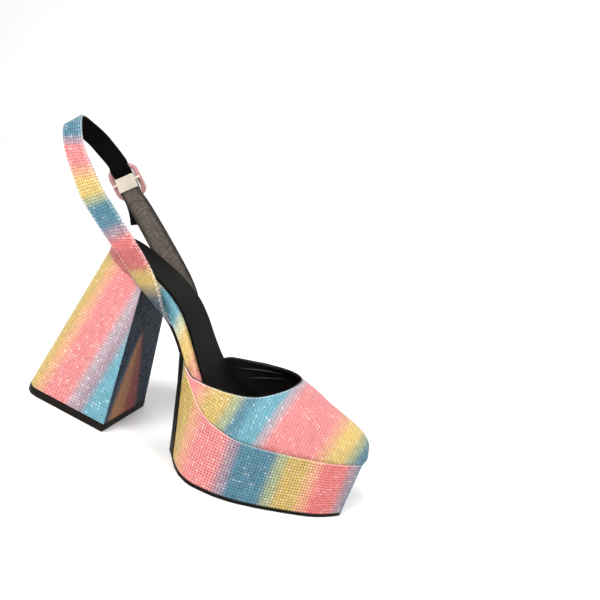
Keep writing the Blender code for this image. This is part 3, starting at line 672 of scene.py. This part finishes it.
def ring_band(points):
    """Band station in mm round a ring that starts at the outer rear: x, then the distance on."""
    points = np.array(points)
    run = lengths(points[:, None, :], 0)[:, 0]
    front = int(np.argmax(points[:, 0] > BAND_TURN))
    return [p[0] / MM if i <= front else (BAND_TURN + run[i] - run[front]) / MM
            for i, p in enumerate(points)]


def make_platform():
    length = TOE_END - PLATFORM_REAR_FOOT
    shares = rounded(0.0, 1.0, 70, PLATFORM_REAR_CORNER / length, TOE_ROUND / length)
    levels = [0.0, 0.02, 0.05] + list(np.linspace(0.1, 0.9, 17)) + [0.95, 0.98, 1.0]
    columns = [platform_column(share, 0, levels) for share in [0.0] + shares]
    columns += [platform_column(share, 1, levels) for share in reversed([0.0] + shares)]
    columns.append(columns[0])
    middle = len(levels) // 2
    bands = ring_band([column[middle] for column in columns])
    grid = np.array([[tuple(p) for p in column] for column in columns])
    # the cloth's threads and bands stand upright, though the columns lean at the rear
    lean = grid[:, :, 0] - grid[:, middle:middle + 1, 0]
    lean[len(shares) + 1:] *= -1
    run = lengths(grid, 0)[:, middle:middle + 1] + lean
    uv = np.stack([run, grid[:, :, 2]], 2)
    piece = grid_piece("platform_cloth", grid,
                       lambda i, j, p: band_colour(PLATFORM_BANDS, bands[i] + lean[i, j] / MM),
                       [WEAVE], uv=uv)
    return seat(piece, "glitter_weave", "platform")


# Heel: side, rear and breast in one ring, straight lines from the seat to the floor
def heel_foot_edge(x):
    back = -HEEL_FOOT_BACK
    share = (HEEL_FOOT_FRONT - x) / (HEEL_FOOT_FRONT - back)
    half = HEEL_FOOT_WIDTH / 2 - HEEL_FOOT_TAPER * share
    return half * corner(back + HEEL_CORNER - x, HEEL_CORNER, 2.4)


def heel_point(share, side, across, level):
    foot_x = -HEEL_FOOT_BACK + share * (HEEL_FOOT_BACK + HEEL_FOOT_FRONT)
    top_x = SEAT_END + share * (HEEL_BREAST_TOP - SEAT_END)
    sign = (-1, 1)[side]
    foot = Vector((foot_x, sign * heel_foot_edge(foot_x) * across, TOP_PIECE_HEIGHT + GAP))
    top = Vector((top_x, plan(top_x)[side] * across, carried_top(top_x)))
    return foot.lerp(top, level)


def heel_tint(point, on_breast):
    # the breast turns from the light, so its bands are painted darker: painted shade
    if on_breast:
        height = (point[2] - TOP_PIECE_HEIGHT) / (SEAT_HEIGHT - TOP_PIECE_HEIGHT)
        half = FLAME_HALF_WIDTH * max(1 - height / FLAME_TOP, 0.0) ** 0.8
        # above the flame the breast is all one dark blue: painted shade over its blue cloth
        if half < 1 * MM:
            return linear(HUES["ink"])
        return band_colour(BREAST_BANDS, (point[1] + FLAME_OFFSET) / half)
    lean = (HEEL_FOOT_BACK + SEAT_END) / (SEAT_HEIGHT - FOOTBED_WAIST - TOP_PIECE_HEIGHT)
    back = -HEEL_FOOT_BACK + (point[2] - TOP_PIECE_HEIGHT) * lean
    return band_colour(HEEL_BANDS, (point[0] - back) / MM)


def make_heel():
    """One ring of upright columns: the outer side from the rear, the breast, the inner side."""
    shares = rounded(0.0, 1.0, 26, 1.6 * HEEL_CORNER / (HEEL_FOOT_BACK + HEEL_FOOT_FRONT))
    levels = np.linspace(0, 1, 30)
    breast = np.linspace(0.985, -0.985, 23)
    columns = [(s, 0, 1.0, False) for s in shares]
    columns += [(1.0, 0 if a > 0 else 1, abs(a), True) for a in breast]
    columns += [(s, 1, 1.0, False) for s in reversed(shares)]
    columns.append(columns[0])
    grid = np.array([[tuple(heel_point(s, side, a, level)) for level in levels]
                     for s, side, a, front in columns])
    # the breast's faces take the shaded copy of the weave and the painted-shade bands
    piece = grid_piece("heel_cloth", grid,
                       lambda i, j, p: heel_tint(p, columns[i][3]), [SOFT_WEAVE, BREAST_WEAVE],
                       lambda i, j: 1 if columns[i][3] or columns[i + 1][3] else 0)
    piece.data.set_sharp_from_angle(angle=math.radians(50))
    return seat(piece, "glitter_weave", "heel_block")


# Footbed and sock
def make_footbed():
    """The wrapped edge of the insole board, turned in under the sock."""
    stations = rounded(SEAT_END, TOE_END, 90, SEAT_ROUND, TOE_ROUND)
    profile = ((1.0, 0.0), (0.75, 0.0), (0.5, 0.0), (0.3, 0.0), (0.16, 0.1), (0.07, 0.4),
               (0.015, 0.9), (0.0, 1.6), (0.0, 3.0), (0.0, 5.5))   # share of the depth, mm inwards

    def column(x, side):
        points = []
        for down, inwards in profile:
            near, far = plan(x)
            half = (far - near) / 2
            edge = (near, far)[side] + (1, -1)[side] * min(inwards * MM, half * 0.9)
            points.append((x, edge, footbed_top(x) - down * footbed_depth(x)))
        return points

    columns = [column(x, 0) for x in stations] + [column(x, 1) for x in reversed(stations)]
    columns.append(columns[0])

    def under_vamp(i, j):
        side = 0 if i < len(stations) else 1
        return 1 if j > 1 and columns[i][0][0] > WING_START + SIDE_SHOWS[side] else 0

    piece = grid_piece("footbed_cloth", columns,
                       lambda i, j, p: band_colour(FOOTBED_BANDS, p[0] / MM), [SOFT_WEAVE, LINING],
                       under_vamp)
    return seat(piece, "glitter_weave", "footbed")


def make_sock():
    stations = rounded(SEAT_END + SOCK_INSET, TOE_END - SOCK_INSET, 100,
                       SEAT_ROUND - SOCK_INSET, TOE_ROUND - SOCK_INSET)
    profile = [(-1.0, 0.0), (-1.0, 0.6), (-0.985, 0.95)]
    profile += [(y, 1.0) for y in np.linspace(-0.95, 0.95, 15)]
    profile += [(0.985, 0.95), (1.0, 0.6), (1.0, 0.0)]
    grid = []
    for x in stations:
        near, far = plan(x, -SOCK_INSET)
        low = footbed_top(x) + 0.5 * level_gap(footbed_top, x)
        thick = level_gap(footbed_top, x, SOCK_THICKNESS + 0.5 * GAP)
        middle, half = (near + far) / 2, (far - near) / 2
        grid.append([(x, middle + half * a, low + thick * h) for a, h in profile])
    return seat(grid_piece("sock_leather", grid, no_tint, [SOCK]), "black_leather", "sock_lining")


# Upper
vamp_ridge = Curve(column(VAMP_RIDGE, 0, UPPER_END - THROAT, THROAT), column(VAMP_RIDGE, 1))
COLLAR_STATIONS = column(COLLAR_LINE, 0, THROAT - WING_START, WING_START)
collar_heights = (Curve(COLLAR_STATIONS, column(COLLAR_LINE, 1)),
                  Curve(COLLAR_STATIONS, column(COLLAR_LINE, 2)))


def ridge_height(x):
    throat = THROAT_HEIGHT - footbed_under(THROAT)
    if x >= THROAT:
        return throat * vamp_ridge(x)
    return THROAT_HEIGHT + VAMP_BACK_SLOPE * (THROAT - x) - footbed_under(x)


def vamp_point(x, side, angle):
    """Point of the upper's outer face: angle 0 is the feather line and 90 degrees the ridge."""
    ridge_y = TOE_SWING * max(0.0, (x - WING_START) / (UPPER_END - WING_START))
    edge = plan(x, UPPER_STANDOFF)[side]
    power = 2.0 / VAMP_FULLNESS
    y = ridge_y + (edge - ridge_y) * abs(math.cos(angle)) ** power
    z = footbed_under(x) + ridge_height(x) * abs(math.sin(angle)) ** power
    front = max(0.0, (x - THROAT) / (UPPER_END - THROAT)) ** 4
    bulge = TOE_BULGE * front * math.sin(math.pi * min(abs(math.sin(angle)) ** power / 0.9, 1.0))
    return Vector((x + bulge, y, z))


def collar_angle(x, side):
    if x >= THROAT:
        return math.pi / 2
    throat = THROAT_HEIGHT - footbed_under(THROAT)
    height = throat * collar_heights[side](x)
    return math.asin(min(height / ridge_height(x), 1.0) ** (VAMP_FULLNESS / 2))


def vamp_rows():
    """Feather and top station of each row; round the throat the rows fan out between them."""
    steps, tip, behind, before = 18, 2 * MM, 11 * MM, 4 * MM
    rows = [(x, x) for x in np.linspace(WING_START + tip, THROAT - behind, 34)]
    for i in range(1, steps + 1):
        share = i / steps
        rows.append((THROAT - behind + (behind + before) * share, THROAT - behind * (1 - share) ** 2))
    for x in rounded(THROAT, UPPER_END, 20, 0.0, TOE_ROUND)[1:]:
        rows.append((x + before * (UPPER_END - x) / (UPPER_END - THROAT), x))
    return rows


def make_upper(levels=26):
    """Vamp of weave outside, with a black lining inside."""
    points, uvs, tints = [], [], []
    rows = vamp_rows()
    ridge_x = np.linspace(WING_START, UPPER_END, 200)
    ridge_z = [footbed_under(x) + ridge_height(x) if x > THROAT else THROAT_HEIGHT for x in ridge_x]
    ridge_run = np.concatenate([[0.0], np.cumsum(np.hypot(np.diff(ridge_x), np.diff(ridge_z)))])
    for foot_x, top_x in rows:
        for side in (0, 1):
            top = collar_angle(top_x, side)
            shares = [i / (levels - 1) for i in range(levels)]
            line = [(foot_x + (top_x - foot_x) * share, top * share ** 0.85) for share in shares]
            # length still to go to the ridge, so that the weave meets there
            last_x, last = line[-1]
            rest = [vamp_point(last_x, side, a) for a in np.linspace(last, math.pi / 2, 9)]
            to_go = sum((b - a).length for a, b in zip(rest, rest[1:]))
            placed = [vamp_point(x, side, angle) for x, angle in line]
            run = [0.0]
            for a, b in zip(placed, placed[1:]):
                run.append(run[-1] + math.hypot(b.y - a.y, b.z - a.z))
            for (x, angle), p, r in zip(line, placed, run):
                points.append(p)
                uvs.append((float(np.interp(x, ridge_x, ridge_run)),
                            (-1, 1)[side] * (run[-1] - r + to_go)))
                tints.append(vamp_tint(p))
    faces, corner_uvs = [], []

    def index(i, side, j):
        return (i * 2 + side) * levels + j

    for i in range(len(rows) - 1):
        for side in (0, 1):
            for j in range(levels - 1):
                quad = [index(i, side, j), index(i, side, j + 1),
                        index(i + 1, side, j + 1), index(i + 1, side, j)]
                faces.append(quad if side == 0 else quad[::-1])
    last = len(rows) - 1
    for j in range(levels - 1):
        faces.append([index(last, 0, j), index(last, 0, j + 1), index(last, 1, j + 1), index(last, 1, j)])
    for face in faces:
        corner_uvs += [uvs[k] for k in face]
    made = add_mesh("upper_cloth", points, faces, corner_uvs, tints, [SOFT_WEAVE, LINING])
    mend(made.data, merge=True)
    side_face = min(made.data.polygons, key=lambda f: f.center.y)
    if side_face.normal.y > 0:
        made.data.flip_normals()
    wall = made.modifiers.new("wall", "SOLIDIFY")
    wall.thickness = UPPER_WALL
    wall.offset = -1.0
    wall.use_even_offset = True
    wall.material_offset = 1
    wall.material_offset_rim = 1
    made.data.shade_smooth()
    made.data.set_sharp_from_angle(angle=math.radians(60))
    return seat(made, "glitter_weave", "upper")


def tube(name, path, radius, material, tint_at, sides=10):
    """Round cord along a path of points, with one radius or a list of them."""
    path = [Vector(p) for p in path]
    radii = radius if isinstance(radius, list) else [radius] * len(path)
    grid = []
    for i, p in enumerate(path):
        before, after = path[max(i - 1, 0)], path[min(i + 1, len(path) - 1)]
        travel = (after - before).normalized()
        side = travel.cross(Vector((0, 0, 1)))
        side = side.normalized() if side.length > 1e-6 else travel.orthogonal().normalized()
        up = side.cross(travel)
        grid.append([tuple(p + (side * math.cos(t) + up * math.sin(t)) * radii[i])
                     for t in np.linspace(0, 2 * math.pi, sides, endpoint=False)])
    return grid_piece(name, grid, tint_at, [material], closed=True, caps=True)


def round_trip(stations, point_at):
    """Path along the outer side and back along the inner one."""
    return ([point_at(x, 0) for x in stations] + [point_at(x, 1) for x in reversed(stations)])


def make_welt():
    """Thin turned edge of the platform's cloth, which shows as a pale line under the vamp."""
    xs = rounded(PLATFORM_REAR_TOP + 8 * MM, UPPER_END, 60, 0.0, TOE_ROUND)
    path = round_trip(xs, lambda x, side: (x, plan(x, UPPER_STANDOFF)[side],
                                           footbed_under(x) - 0.3 * WELT_RADIUS))
    bands = ring_band(path)

    def pale(i, j, p):
        return paler(band_colour(PLATFORM_BANDS, bands[i]), WELT_PALE)

    return seat(tube("welt_edge", path, WELT_RADIUS, EDGE_WEAVE, pale), "glitter_weave")


def collar_path(inwards, lift):
    """Along the collar, from the outer wing round the throat to the inner one."""
    def place(x, side):
        edge = vamp_point(x, side, collar_angle(x, side))
        room = min(abs(edge.y - 0.5 * TOE_SWING) / UPPER_WALL, 1.0)
        return edge + Vector((0.0, (1, -1)[side] * inwards * room, lift))

    path = round_trip([top_x for foot_x, top_x in vamp_rows() if top_x <= THROAT + 0.1 * MM], place)
    del path[len(path) // 2]        # the two sides share the throat's point
    return path


def make_collar_edges():
    """Cloth turned over the collar's outer half, paler where it bends, and the lining's edge."""

    def pale(i, j, p):
        return paler(vamp_tint(p), COLLAR_PALE)

    cloth = tube("collar_edge", collar_path(0.2 * UPPER_WALL, -0.15 * MM), COLLAR_EDGE_RADIUS,
                 EDGE_WEAVE, pale)
    seat(cloth, "glitter_weave")
    lining = tube("lining_edge", collar_path(0.7 * UPPER_WALL, 0.1 * MM), LINING_EDGE_RADIUS,
                  LINING, no_tint)
    seat(lining, "black_leather")


def make_lining_fold(name, start, end, drop, radius, rise):
    """Soft ridge where the lining stands off the inner wall, at this angle below the collar."""
    path, radii = [], []
    for share in np.linspace(0.0, 1.0, 30):
        x = start + (end - start) * share
        angle = collar_angle(x, 1) - drop
        here = vamp_point(x, 1, angle)
        along = vamp_point(x + 1 * MM, 1, angle) - here
        upwards = vamp_point(x, 1, angle + 0.02) - here
        outwards = along.cross(upwards).normalized()
        if outwards.y < 0:
            outwards.negate()
        swell = math.sin(math.pi * share)
        path.append(here - outwards * (UPPER_WALL + (rise - radius) * swell))
        radii.append(max(radius * swell, 0.03 * MM))
    return seat(tube(name, path, radii, LINING, no_tint), "black_leather")


def make_sole_wrap(name, side):
    """Sole sheet turned round a rear corner of the platform, widest at the floor."""
    floor, top, step = -0.028, 0.97, 0.002      # shares of the platform's height, and of its length
    levels = np.linspace(floor, top, 16)
    shares = (0.0, 0.12, 0.28, 0.46, 0.64, 0.8, 0.92, 0.985, 1.0)
    grid = []
    for share in shares:
        stand = WRAP_THICKNESS + (OUTSOLE_THICKNESS - WRAP_THICKNESS) * (1 - share) ** 2
        if share == shares[-1]:
            stand = -0.1 * MM
        line = []
        for level in levels:
            at = share * WRAP_SHARE * (1 - max(level, 0.0))
            here, = platform_column(at, side, [level])
            ahead, = platform_column(at + step, side, [level])
            travel = ahead - here
            outwards = Vector((travel.y, -travel.x, 0.0)).normalized() * (1, -1)[side]
            line.append(tuple(here + outwards * stand))
        grid.append(line)
    return seat(grid_piece(name, grid, no_tint, [RUBBER]), "black_rubber")


# Straps
def catmull(points, per_span):
    points = [Vector(p) for p in points]
    ends = [2 * points[0] - points[1]] + points + [2 * points[-1] - points[-2]]
    made = []
    for i in range(1, len(ends) - 2):
        p0, p1, p2, p3 = ends[i - 1:i + 3]
        for step in range(per_span):
            t = step / per_span
            made.append(0.5 * (2 * p1 + (p2 - p0) * t + (2 * p0 - 5 * p1 + 4 * p2 - p3) * t * t
                               + (3 * p1 - p0 - 3 * p2 + p3) * t ** 3))
    made.append(points[-1])
    return made


def strap_base(side):
    ends = []
    for share in (-0.5, 0.5):
        x = STRAP_BASE + share * STRAP_BASE_LENGTH
        ends.append(Vector((x, plan(x, GAP + STRAP_THICKNESS / 2)[side], footbed_under(x) + GAP)))
    return ends


def strap_rows(table):
    base_z = footbed_under(STRAP_BASE)
    rows = []
    for back, up, out, width, tilt in table:
        centre = Vector((STRAP_BASE - back * STRAP_REACH, out * ANKLE_WIDTH / 2,
                         base_z + up * STRAP_RISE))
        turn = math.radians(tilt)
        lean = math.copysign(math.sin(BUCKLE_LEAN) * abs(out), out)
        half = Vector((math.cos(turn), lean, math.sin(turn))) * (width * STRAP_WIDTH / 2)
        rows.append((centre - half, centre + half))
    return rows


def at_buckle(along, across, outwards):
    """Point in the buckle's own frame, in metres."""
    centre = Vector((STRAP_BASE - BUCKLE_BACK * STRAP_REACH, BUCKLE_OUT * ANKLE_WIDTH / 2,
                     footbed_under(STRAP_BASE) + BUCKLE_UP * STRAP_RISE))
    a = Vector((math.cos(BUCKLE_SLOPE), 0.0, -math.sin(BUCKLE_SLOPE)))
    c = Vector((math.sin(BUCKLE_SLOPE) * math.cos(BUCKLE_LEAN), math.sin(BUCKLE_LEAN),
                math.cos(BUCKLE_SLOPE) * math.cos(BUCKLE_LEAN)))
    return centre + a * along + c * across + c.cross(a) * outwards


def across_buckle(along, outwards):
    """Both edges of a strap where it lies square to the buckle."""
    return tuple(at_buckle(along, side * STRAP_WIDTH / 2, outwards) for side in (-1, 1))


def long_strap_rows():
    rows = [tuple(strap_base(0))] + strap_rows(LONG_STRAP)
    half = STRAP_WIDTH / 2
    rows += [across_buckle(along * BUCKLE_LENGTH, outwards * STRAP_THICKNESS)
             for along, outwards in LONG_STRAP_BUCKLE]
    start, out = LONG_STRAP_BUCKLE[-1][0] * BUCKLE_LENGTH, LONG_STRAP_BUCKLE[-1][1] * STRAP_THICKNESS
    for share in (0.5, 1.0):
        turn, run = TAIL_DROP * share, share * TAIL_LENGTH
        place = (start + run * math.cos(turn), -run * math.sin(turn) / 2)
        edge = (math.sin(turn) * half, math.cos(turn) * half)
        rows.append((at_buckle(place[0] - edge[0], place[1] - edge[1], out),
                     at_buckle(place[0] + edge[0], place[1] + edge[1], out)))
    return rows


def short_strap_rows():
    rows = [tuple(strap_base(1))] + strap_rows(SHORT_STRAP)
    return rows + [across_buckle(along, 0) for along in (0.40 * BUCKLE_LENGTH, 0.22 * BUCKLE_LENGTH,
                                                         BAR_RADIUS + GAP)]


def strap_profile(steps=12):
    """Shares of half the width and half the thickness round a strap, and which of them are lining."""
    edge = 0.10
    top = [(a, 1.0 - 0.12 * abs(a) ** 6) for a in np.linspace(-1 + edge, 1 - edge, steps)]
    right = [(1 - edge + edge * math.sin(t), 0.88 * math.cos(t)) for t in (0.5, 1.0, 1.57, 2.1, 2.6)]
    bottom = [(a, -0.9) for a in np.linspace(1 - edge, -1 + edge, steps)]
    left = [(-a, n) for a, n in reversed(right)]
    return top + right + bottom + left, range(steps + 3, 2 * steps + 7)


def make_strap(name, rows, outer_sign, bands, lining, node, per_span=9):
    """Strap of weave outside and leather inside. Returns what its stitches follow: at each step
    the middle, half the width, the outward direction and the length run so far."""
    low = catmull([row[0] for row in rows], per_span)
    high = catmull([row[1] for row in rows], per_span)
    profile, inside = strap_profile()
    grid, uv, frames = [], [], []
    run = 0.0
    for i, (a, b) in enumerate(zip(low, high)):
        before, after = max(i - 1, 0), min(i + 1, len(low) - 1)
        travel = (low[after] + high[after]) - (low[before] + high[before])
        outwards = travel.cross(b - a).normalized() * outer_sign
        middle, half = (a + b) / 2, (b - a) / 2
        if i:
            run += (middle - frames[-1][0]).length
        frames.append((middle, half, outwards, run))
        end = min(i, len(low) - 1 - i)
        pinch = (0.55, 0.9)[end] if end < 2 else 1.0
        grid.append([tuple(middle + half * w + outwards * (n * pinch * STRAP_THICKNESS / 2))
                     for w, n in profile])
        across = [w * half.length for w, n in profile]
        uv.append([(run, v) for v in across] + [(run, across[0])])

    def tint(i, j, p):
        edge = abs(profile[j][0])
        if j in inside:
            return [next(shade for reach, shade in LINING_SHADES if edge < reach)] * 3
        # the foot of a strap fans out, but its bands stay square to it
        fan = BAND_FAN * max(1 - frames[i][3] / BAND_FAN_LENGTH, 0.0)
        colour = band_colour(bands, (frames[i][3] - profile[j][0] * fan) / MM)
        return paler(colour, STRAP_EDGE_PALE if edge > 0.93 else 0.0)

    piece = grid_piece(name, grid, tint, [STRAP_WEAVE, lining], lambda i, j: int(j in inside),
                       uv=np.array(uv), closed=True, caps=True)
    seat(piece, "glitter_weave", node)
    return frames


def make_stitches(name, frames, bands, face=1, dark=False):
    """Rows of stitches along both edges of a strap, on its outer face (1) or its lining (-1)."""
    points, faces, tints = [], [], []
    sides, rings = 6, 5
    runs = [f[3] for f in frames]
    total = runs[-1]
    for edge in (-1, 1):
        place = STITCH_START
        while place < total - STITCH_STOP:
            colour = paler(band_colour(bands, place / MM), STITCH_PALE)
            ends = []
            for at in (place, place + STITCH_SHARE * STITCH_PITCH):
                k = min(int(np.searchsorted(runs, at)), len(frames) - 1)
                a, b = frames[k - 1], frames[k]
                t = (at - a[3]) / (b[3] - a[3])
                middle, half = a[0].lerp(b[0], t), a[1].lerp(b[1], t)
                outwards = a[2].lerp(b[2], t).normalized() * face
                width = half.length
                ends.append(middle + half * (edge * (width - STITCH_INSET) / width)
                            + outwards * (STRAP_THICKNESS / 2 + STITCH_LIFT))
            axis = (ends[1] - ends[0]).normalized()
            side = axis.cross(outwards).normalized()
            base = len(points)
            for r in range(rings):
                share = r / (rings - 1)
                radius = STITCH_RADIUS * math.sin(math.pi * (0.12 + 0.76 * share)) ** 0.6
                centre = ends[0].lerp(ends[1], share)
                for s in range(sides):
                    turn = 2 * math.pi * s / sides
                    points.append(centre + side * (radius * math.cos(turn))
                                  + outwards * (radius * math.sin(turn)))
                    tints.append((0.012, 0.010, 0.010) if dark else colour)
            for r in range(rings - 1):
                for s in range(sides):
                    k = (s + 1) % sides
                    a = base + r * sides
                    faces.append((a + s, a + k, a + sides + k, a + sides + s))
            faces.append(tuple(base + s for s in range(sides)))
            faces.append(tuple(base + (rings - 1) * sides + s for s in reversed(range(sides))))
            place += STITCH_PITCH
    uvs = [(0.0, 0.0)] * sum(len(f) for f in faces)
    slot = "black_leather" if dark else "glitter_weave"
    return seat(add_mesh(name, points, faces, uvs, tints, [THREAD]), slot)


# Buckle
def frame_height(along):
    return BAR_RADIUS + GAP + BUCKLE_TILT * along


def make_buckle_frame(corner_steps=12, around=20):
    """Padded ring covered in the weave."""
    half_length, half_width = BUCKLE_LENGTH / 2, BUCKLE_WIDTH / 2
    grid = []
    for quarter, (sx, sy) in enumerate(((1, 1), (-1, 1), (-1, -1), (1, -1))):
        centre = Vector((sx * (half_length - BUCKLE_CORNER), sy * (half_width - BUCKLE_CORNER)))
        for step in range(corner_steps + 1):
            turn = (quarter + step / corner_steps) * math.pi / 2
            outwards = Vector((math.cos(turn), math.sin(turn)))
            ring = []
            for t in np.linspace(0, 2 * math.pi, around, endpoint=False):
                c, s = math.cos(t), math.sin(t)
                across = 0.5 - 0.5 * math.copysign(abs(c) ** 0.75, c)
                up = 0.5 + 0.5 * math.copysign(abs(s) ** 0.75, s)
                place = centre + outwards * (BUCKLE_CORNER - across * BUCKLE_RIM)
                ring.append(tuple(at_buckle(place.x, place.y,
                                            frame_height(place.x) + up * BUCKLE_THICKNESS)))
            grid.append(ring)
    grid.append(grid[0])

    def tint(i, j, p):
        return linear((0.86, 0.62, 0.62))

    piece = grid_piece("buckle_frame_cloth", grid, tint, [BUCKLE_WEAVE], closed=True)
    return seat(piece, "buckle_weave", "buckle_frame")


def bevelled(node, name, material, slot, width):
    """Copy of a CAD node with its sharp edges rounded off."""
    made = add_object(name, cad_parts[node].data.copy())
    mend(made.data, merge=True, flatten=True)
    made.data.materials.clear()
    made.data.materials.append(material)
    bevel = made.modifiers.new("bevel", "BEVEL")
    bevel.width = width
    bevel.segments = 3
    bevel.limit_method = "ANGLE"
    bevel.angle_limit = math.radians(35)
    bevel.harden_normals = False
    made.data.shade_smooth()
    made.data.set_sharp_from_angle(angle=math.radians(50))
    return seat(made, slot, node)


make_platform()
make_heel()
make_footbed()
make_sock()
make_upper()
make_welt()
make_collar_edges()
make_lining_fold("lining_fold_upper", 110 * MM, 150 * MM, 0.15, 0.95 * MM, 0.5 * MM)
make_lining_fold("lining_fold_lower", 122 * MM, 158 * MM, 0.30, 0.90 * MM, 0.4 * MM)
make_sole_wrap("sole_wrap_outer", 0)
make_sole_wrap("sole_wrap_inner", 1)
long_frames = make_strap("strap_long_cloth", long_strap_rows(), -1, LONG_STRAP_BANDS,
                         STRAP_BLACK, "strap_long")
short_frames = make_strap("strap_short_cloth", short_strap_rows(), 1, SHORT_STRAP_BANDS,
                          STRAP_LINING, "strap_short")
make_stitches("strap_long_stitches", long_frames, LONG_STRAP_BANDS)
make_stitches("strap_short_stitches", short_frames, SHORT_STRAP_BANDS)
make_stitches("strap_short_inner_seams", short_frames, SHORT_STRAP_BANDS, -1, True)
make_buckle_frame()
bevelled("buckle_plate", "buckle_plate_metal", NICKEL, "nickel", 0.2 * MM)
bevelled("buckle_bar", "buckle_bar_metal", NICKEL, "nickel", 0.25 * MM)
bevelled("buckle_prong", "buckle_prong_metal", NICKEL, "nickel", 0.2 * MM)
bevelled("outsole", "outsole_sheet", RUBBER, "black_rubber", 0.35 * MM)
bevelled("heel_top_piece", "top_piece", TOP_RUBBER, "black_rubber", 0.5 * MM)


# Floor, light and camera
def make_stage():
    """Pale floor that curves up into a far wall all round, so that no horizon shows."""
    n = Nodes("pale_floor")
    cloud = n.noise(n.place(), 2.0, 2.0)
    grey = n.ramp(cloud, (0.3, 0.89), (0.7, 0.91))
    material = n.finish(grey, roughness=0.7)
    flat, bend, wall = 1.6, 1.2, 2.6
    profile = [(0.0, 0.0), (flat, 0.0)]
    profile += [(flat + bend * math.sin(a), bend * (1 - math.cos(a))) for a in np.linspace(0.1, 1.57, 16)]
    profile.append((flat + bend, wall))
    around = 72
    points, faces = [], []
    for radius, height in profile:
        for k in range(around):
            turn = 2 * math.pi * k / around
            points.append((radius * math.cos(turn), radius * math.sin(turn), height))
    for i in range(len(profile) - 1):
        for k in range(around):
            a, b = i * around + k, i * around + (k + 1) % around
            faces.append((a, b, b + around, a + around))
    mesh = bpy.data.meshes.new("floor")
    mesh.from_pydata(points, [], faces)
    mesh.materials.append(material)
    mesh.shade_smooth()
    floor = add_object("floor", mesh)
    world = bpy.data.worlds.new("studio")
    bpy.context.scene.world = world
    world.use_nodes = True
    world.node_tree.nodes["Background"].inputs["Color"].default_value = (1.0, 1.0, 1.0, 1.0)
    world.node_tree.nodes["Background"].inputs["Strength"].default_value = 0.28


def add_light(name, kind, place, target, power, **settings):
    """Light that shines from one point towards another. For a sun only the direction counts."""
    light = bpy.data.lights.new(name, kind)
    light.energy = power
    for key, value in settings.items():
        setattr(light, key, value)
    made = add_object(name, light)
    made.location = place
    made.rotation_mode = "QUATERNION"
    made.rotation_quaternion = (Vector(target) - Vector(place)).to_track_quat("-Z", "Y")


def make_camera():
    """The photo's view, fitted to both shoes of the pair: rolled, and a little above."""
    right, up, ahead = CAMERA_AXES
    data = bpy.data.cameras.new("photo_camera")
    data.sensor_width = 36.0
    data.lens = LENS
    camera = add_object("photo_camera", data)
    turn = Matrix([[right[i], up[i], -ahead[i]] for i in range(3)])
    camera.matrix_world = Matrix.Translation(CAMERA_PLACE) @ turn.to_4x4()
    bpy.context.scene.camera = camera


LENS = 36.66
CAMERA_PLACE = Vector((0.2208, -0.4222, 0.2329))
CAMERA_AXES = ((0.9089, 0.2329, 0.3459), (-0.3810, 0.1266, 0.9158), (-0.1695, 0.9642, -0.2039))

bpy.context.scene.view_settings.view_transform = "Standard"
make_stage()
ORIGIN, MIDDLE, VAMP_SIDE = (0.0, 0.0, 0.0), (0.09, 0.0, 0.08), (0.18, -0.03, 0.07)
add_light("daylight", "SUN", (-0.25, -0.62, 0.80), ORIGIN, 2.1, angle=math.radians(22))
add_light("backlight", "SUN", (0.30, 0.75, 0.60), ORIGIN, 1.2, angle=math.radians(30))
add_light("key", "AREA", (-0.32, -0.52, 0.62), MIDDLE, 3.2, shape="DISK", size=0.35)
add_light("glints", "AREA", (0.82, -0.40, 0.58), VAMP_SIDE, 2.8, shape="DISK", size=0.16)
add_light("top", "AREA", (0.20, 0.35, 1.20), MIDDLE, 3, shape="DISK", size=0.70)
make_camera()
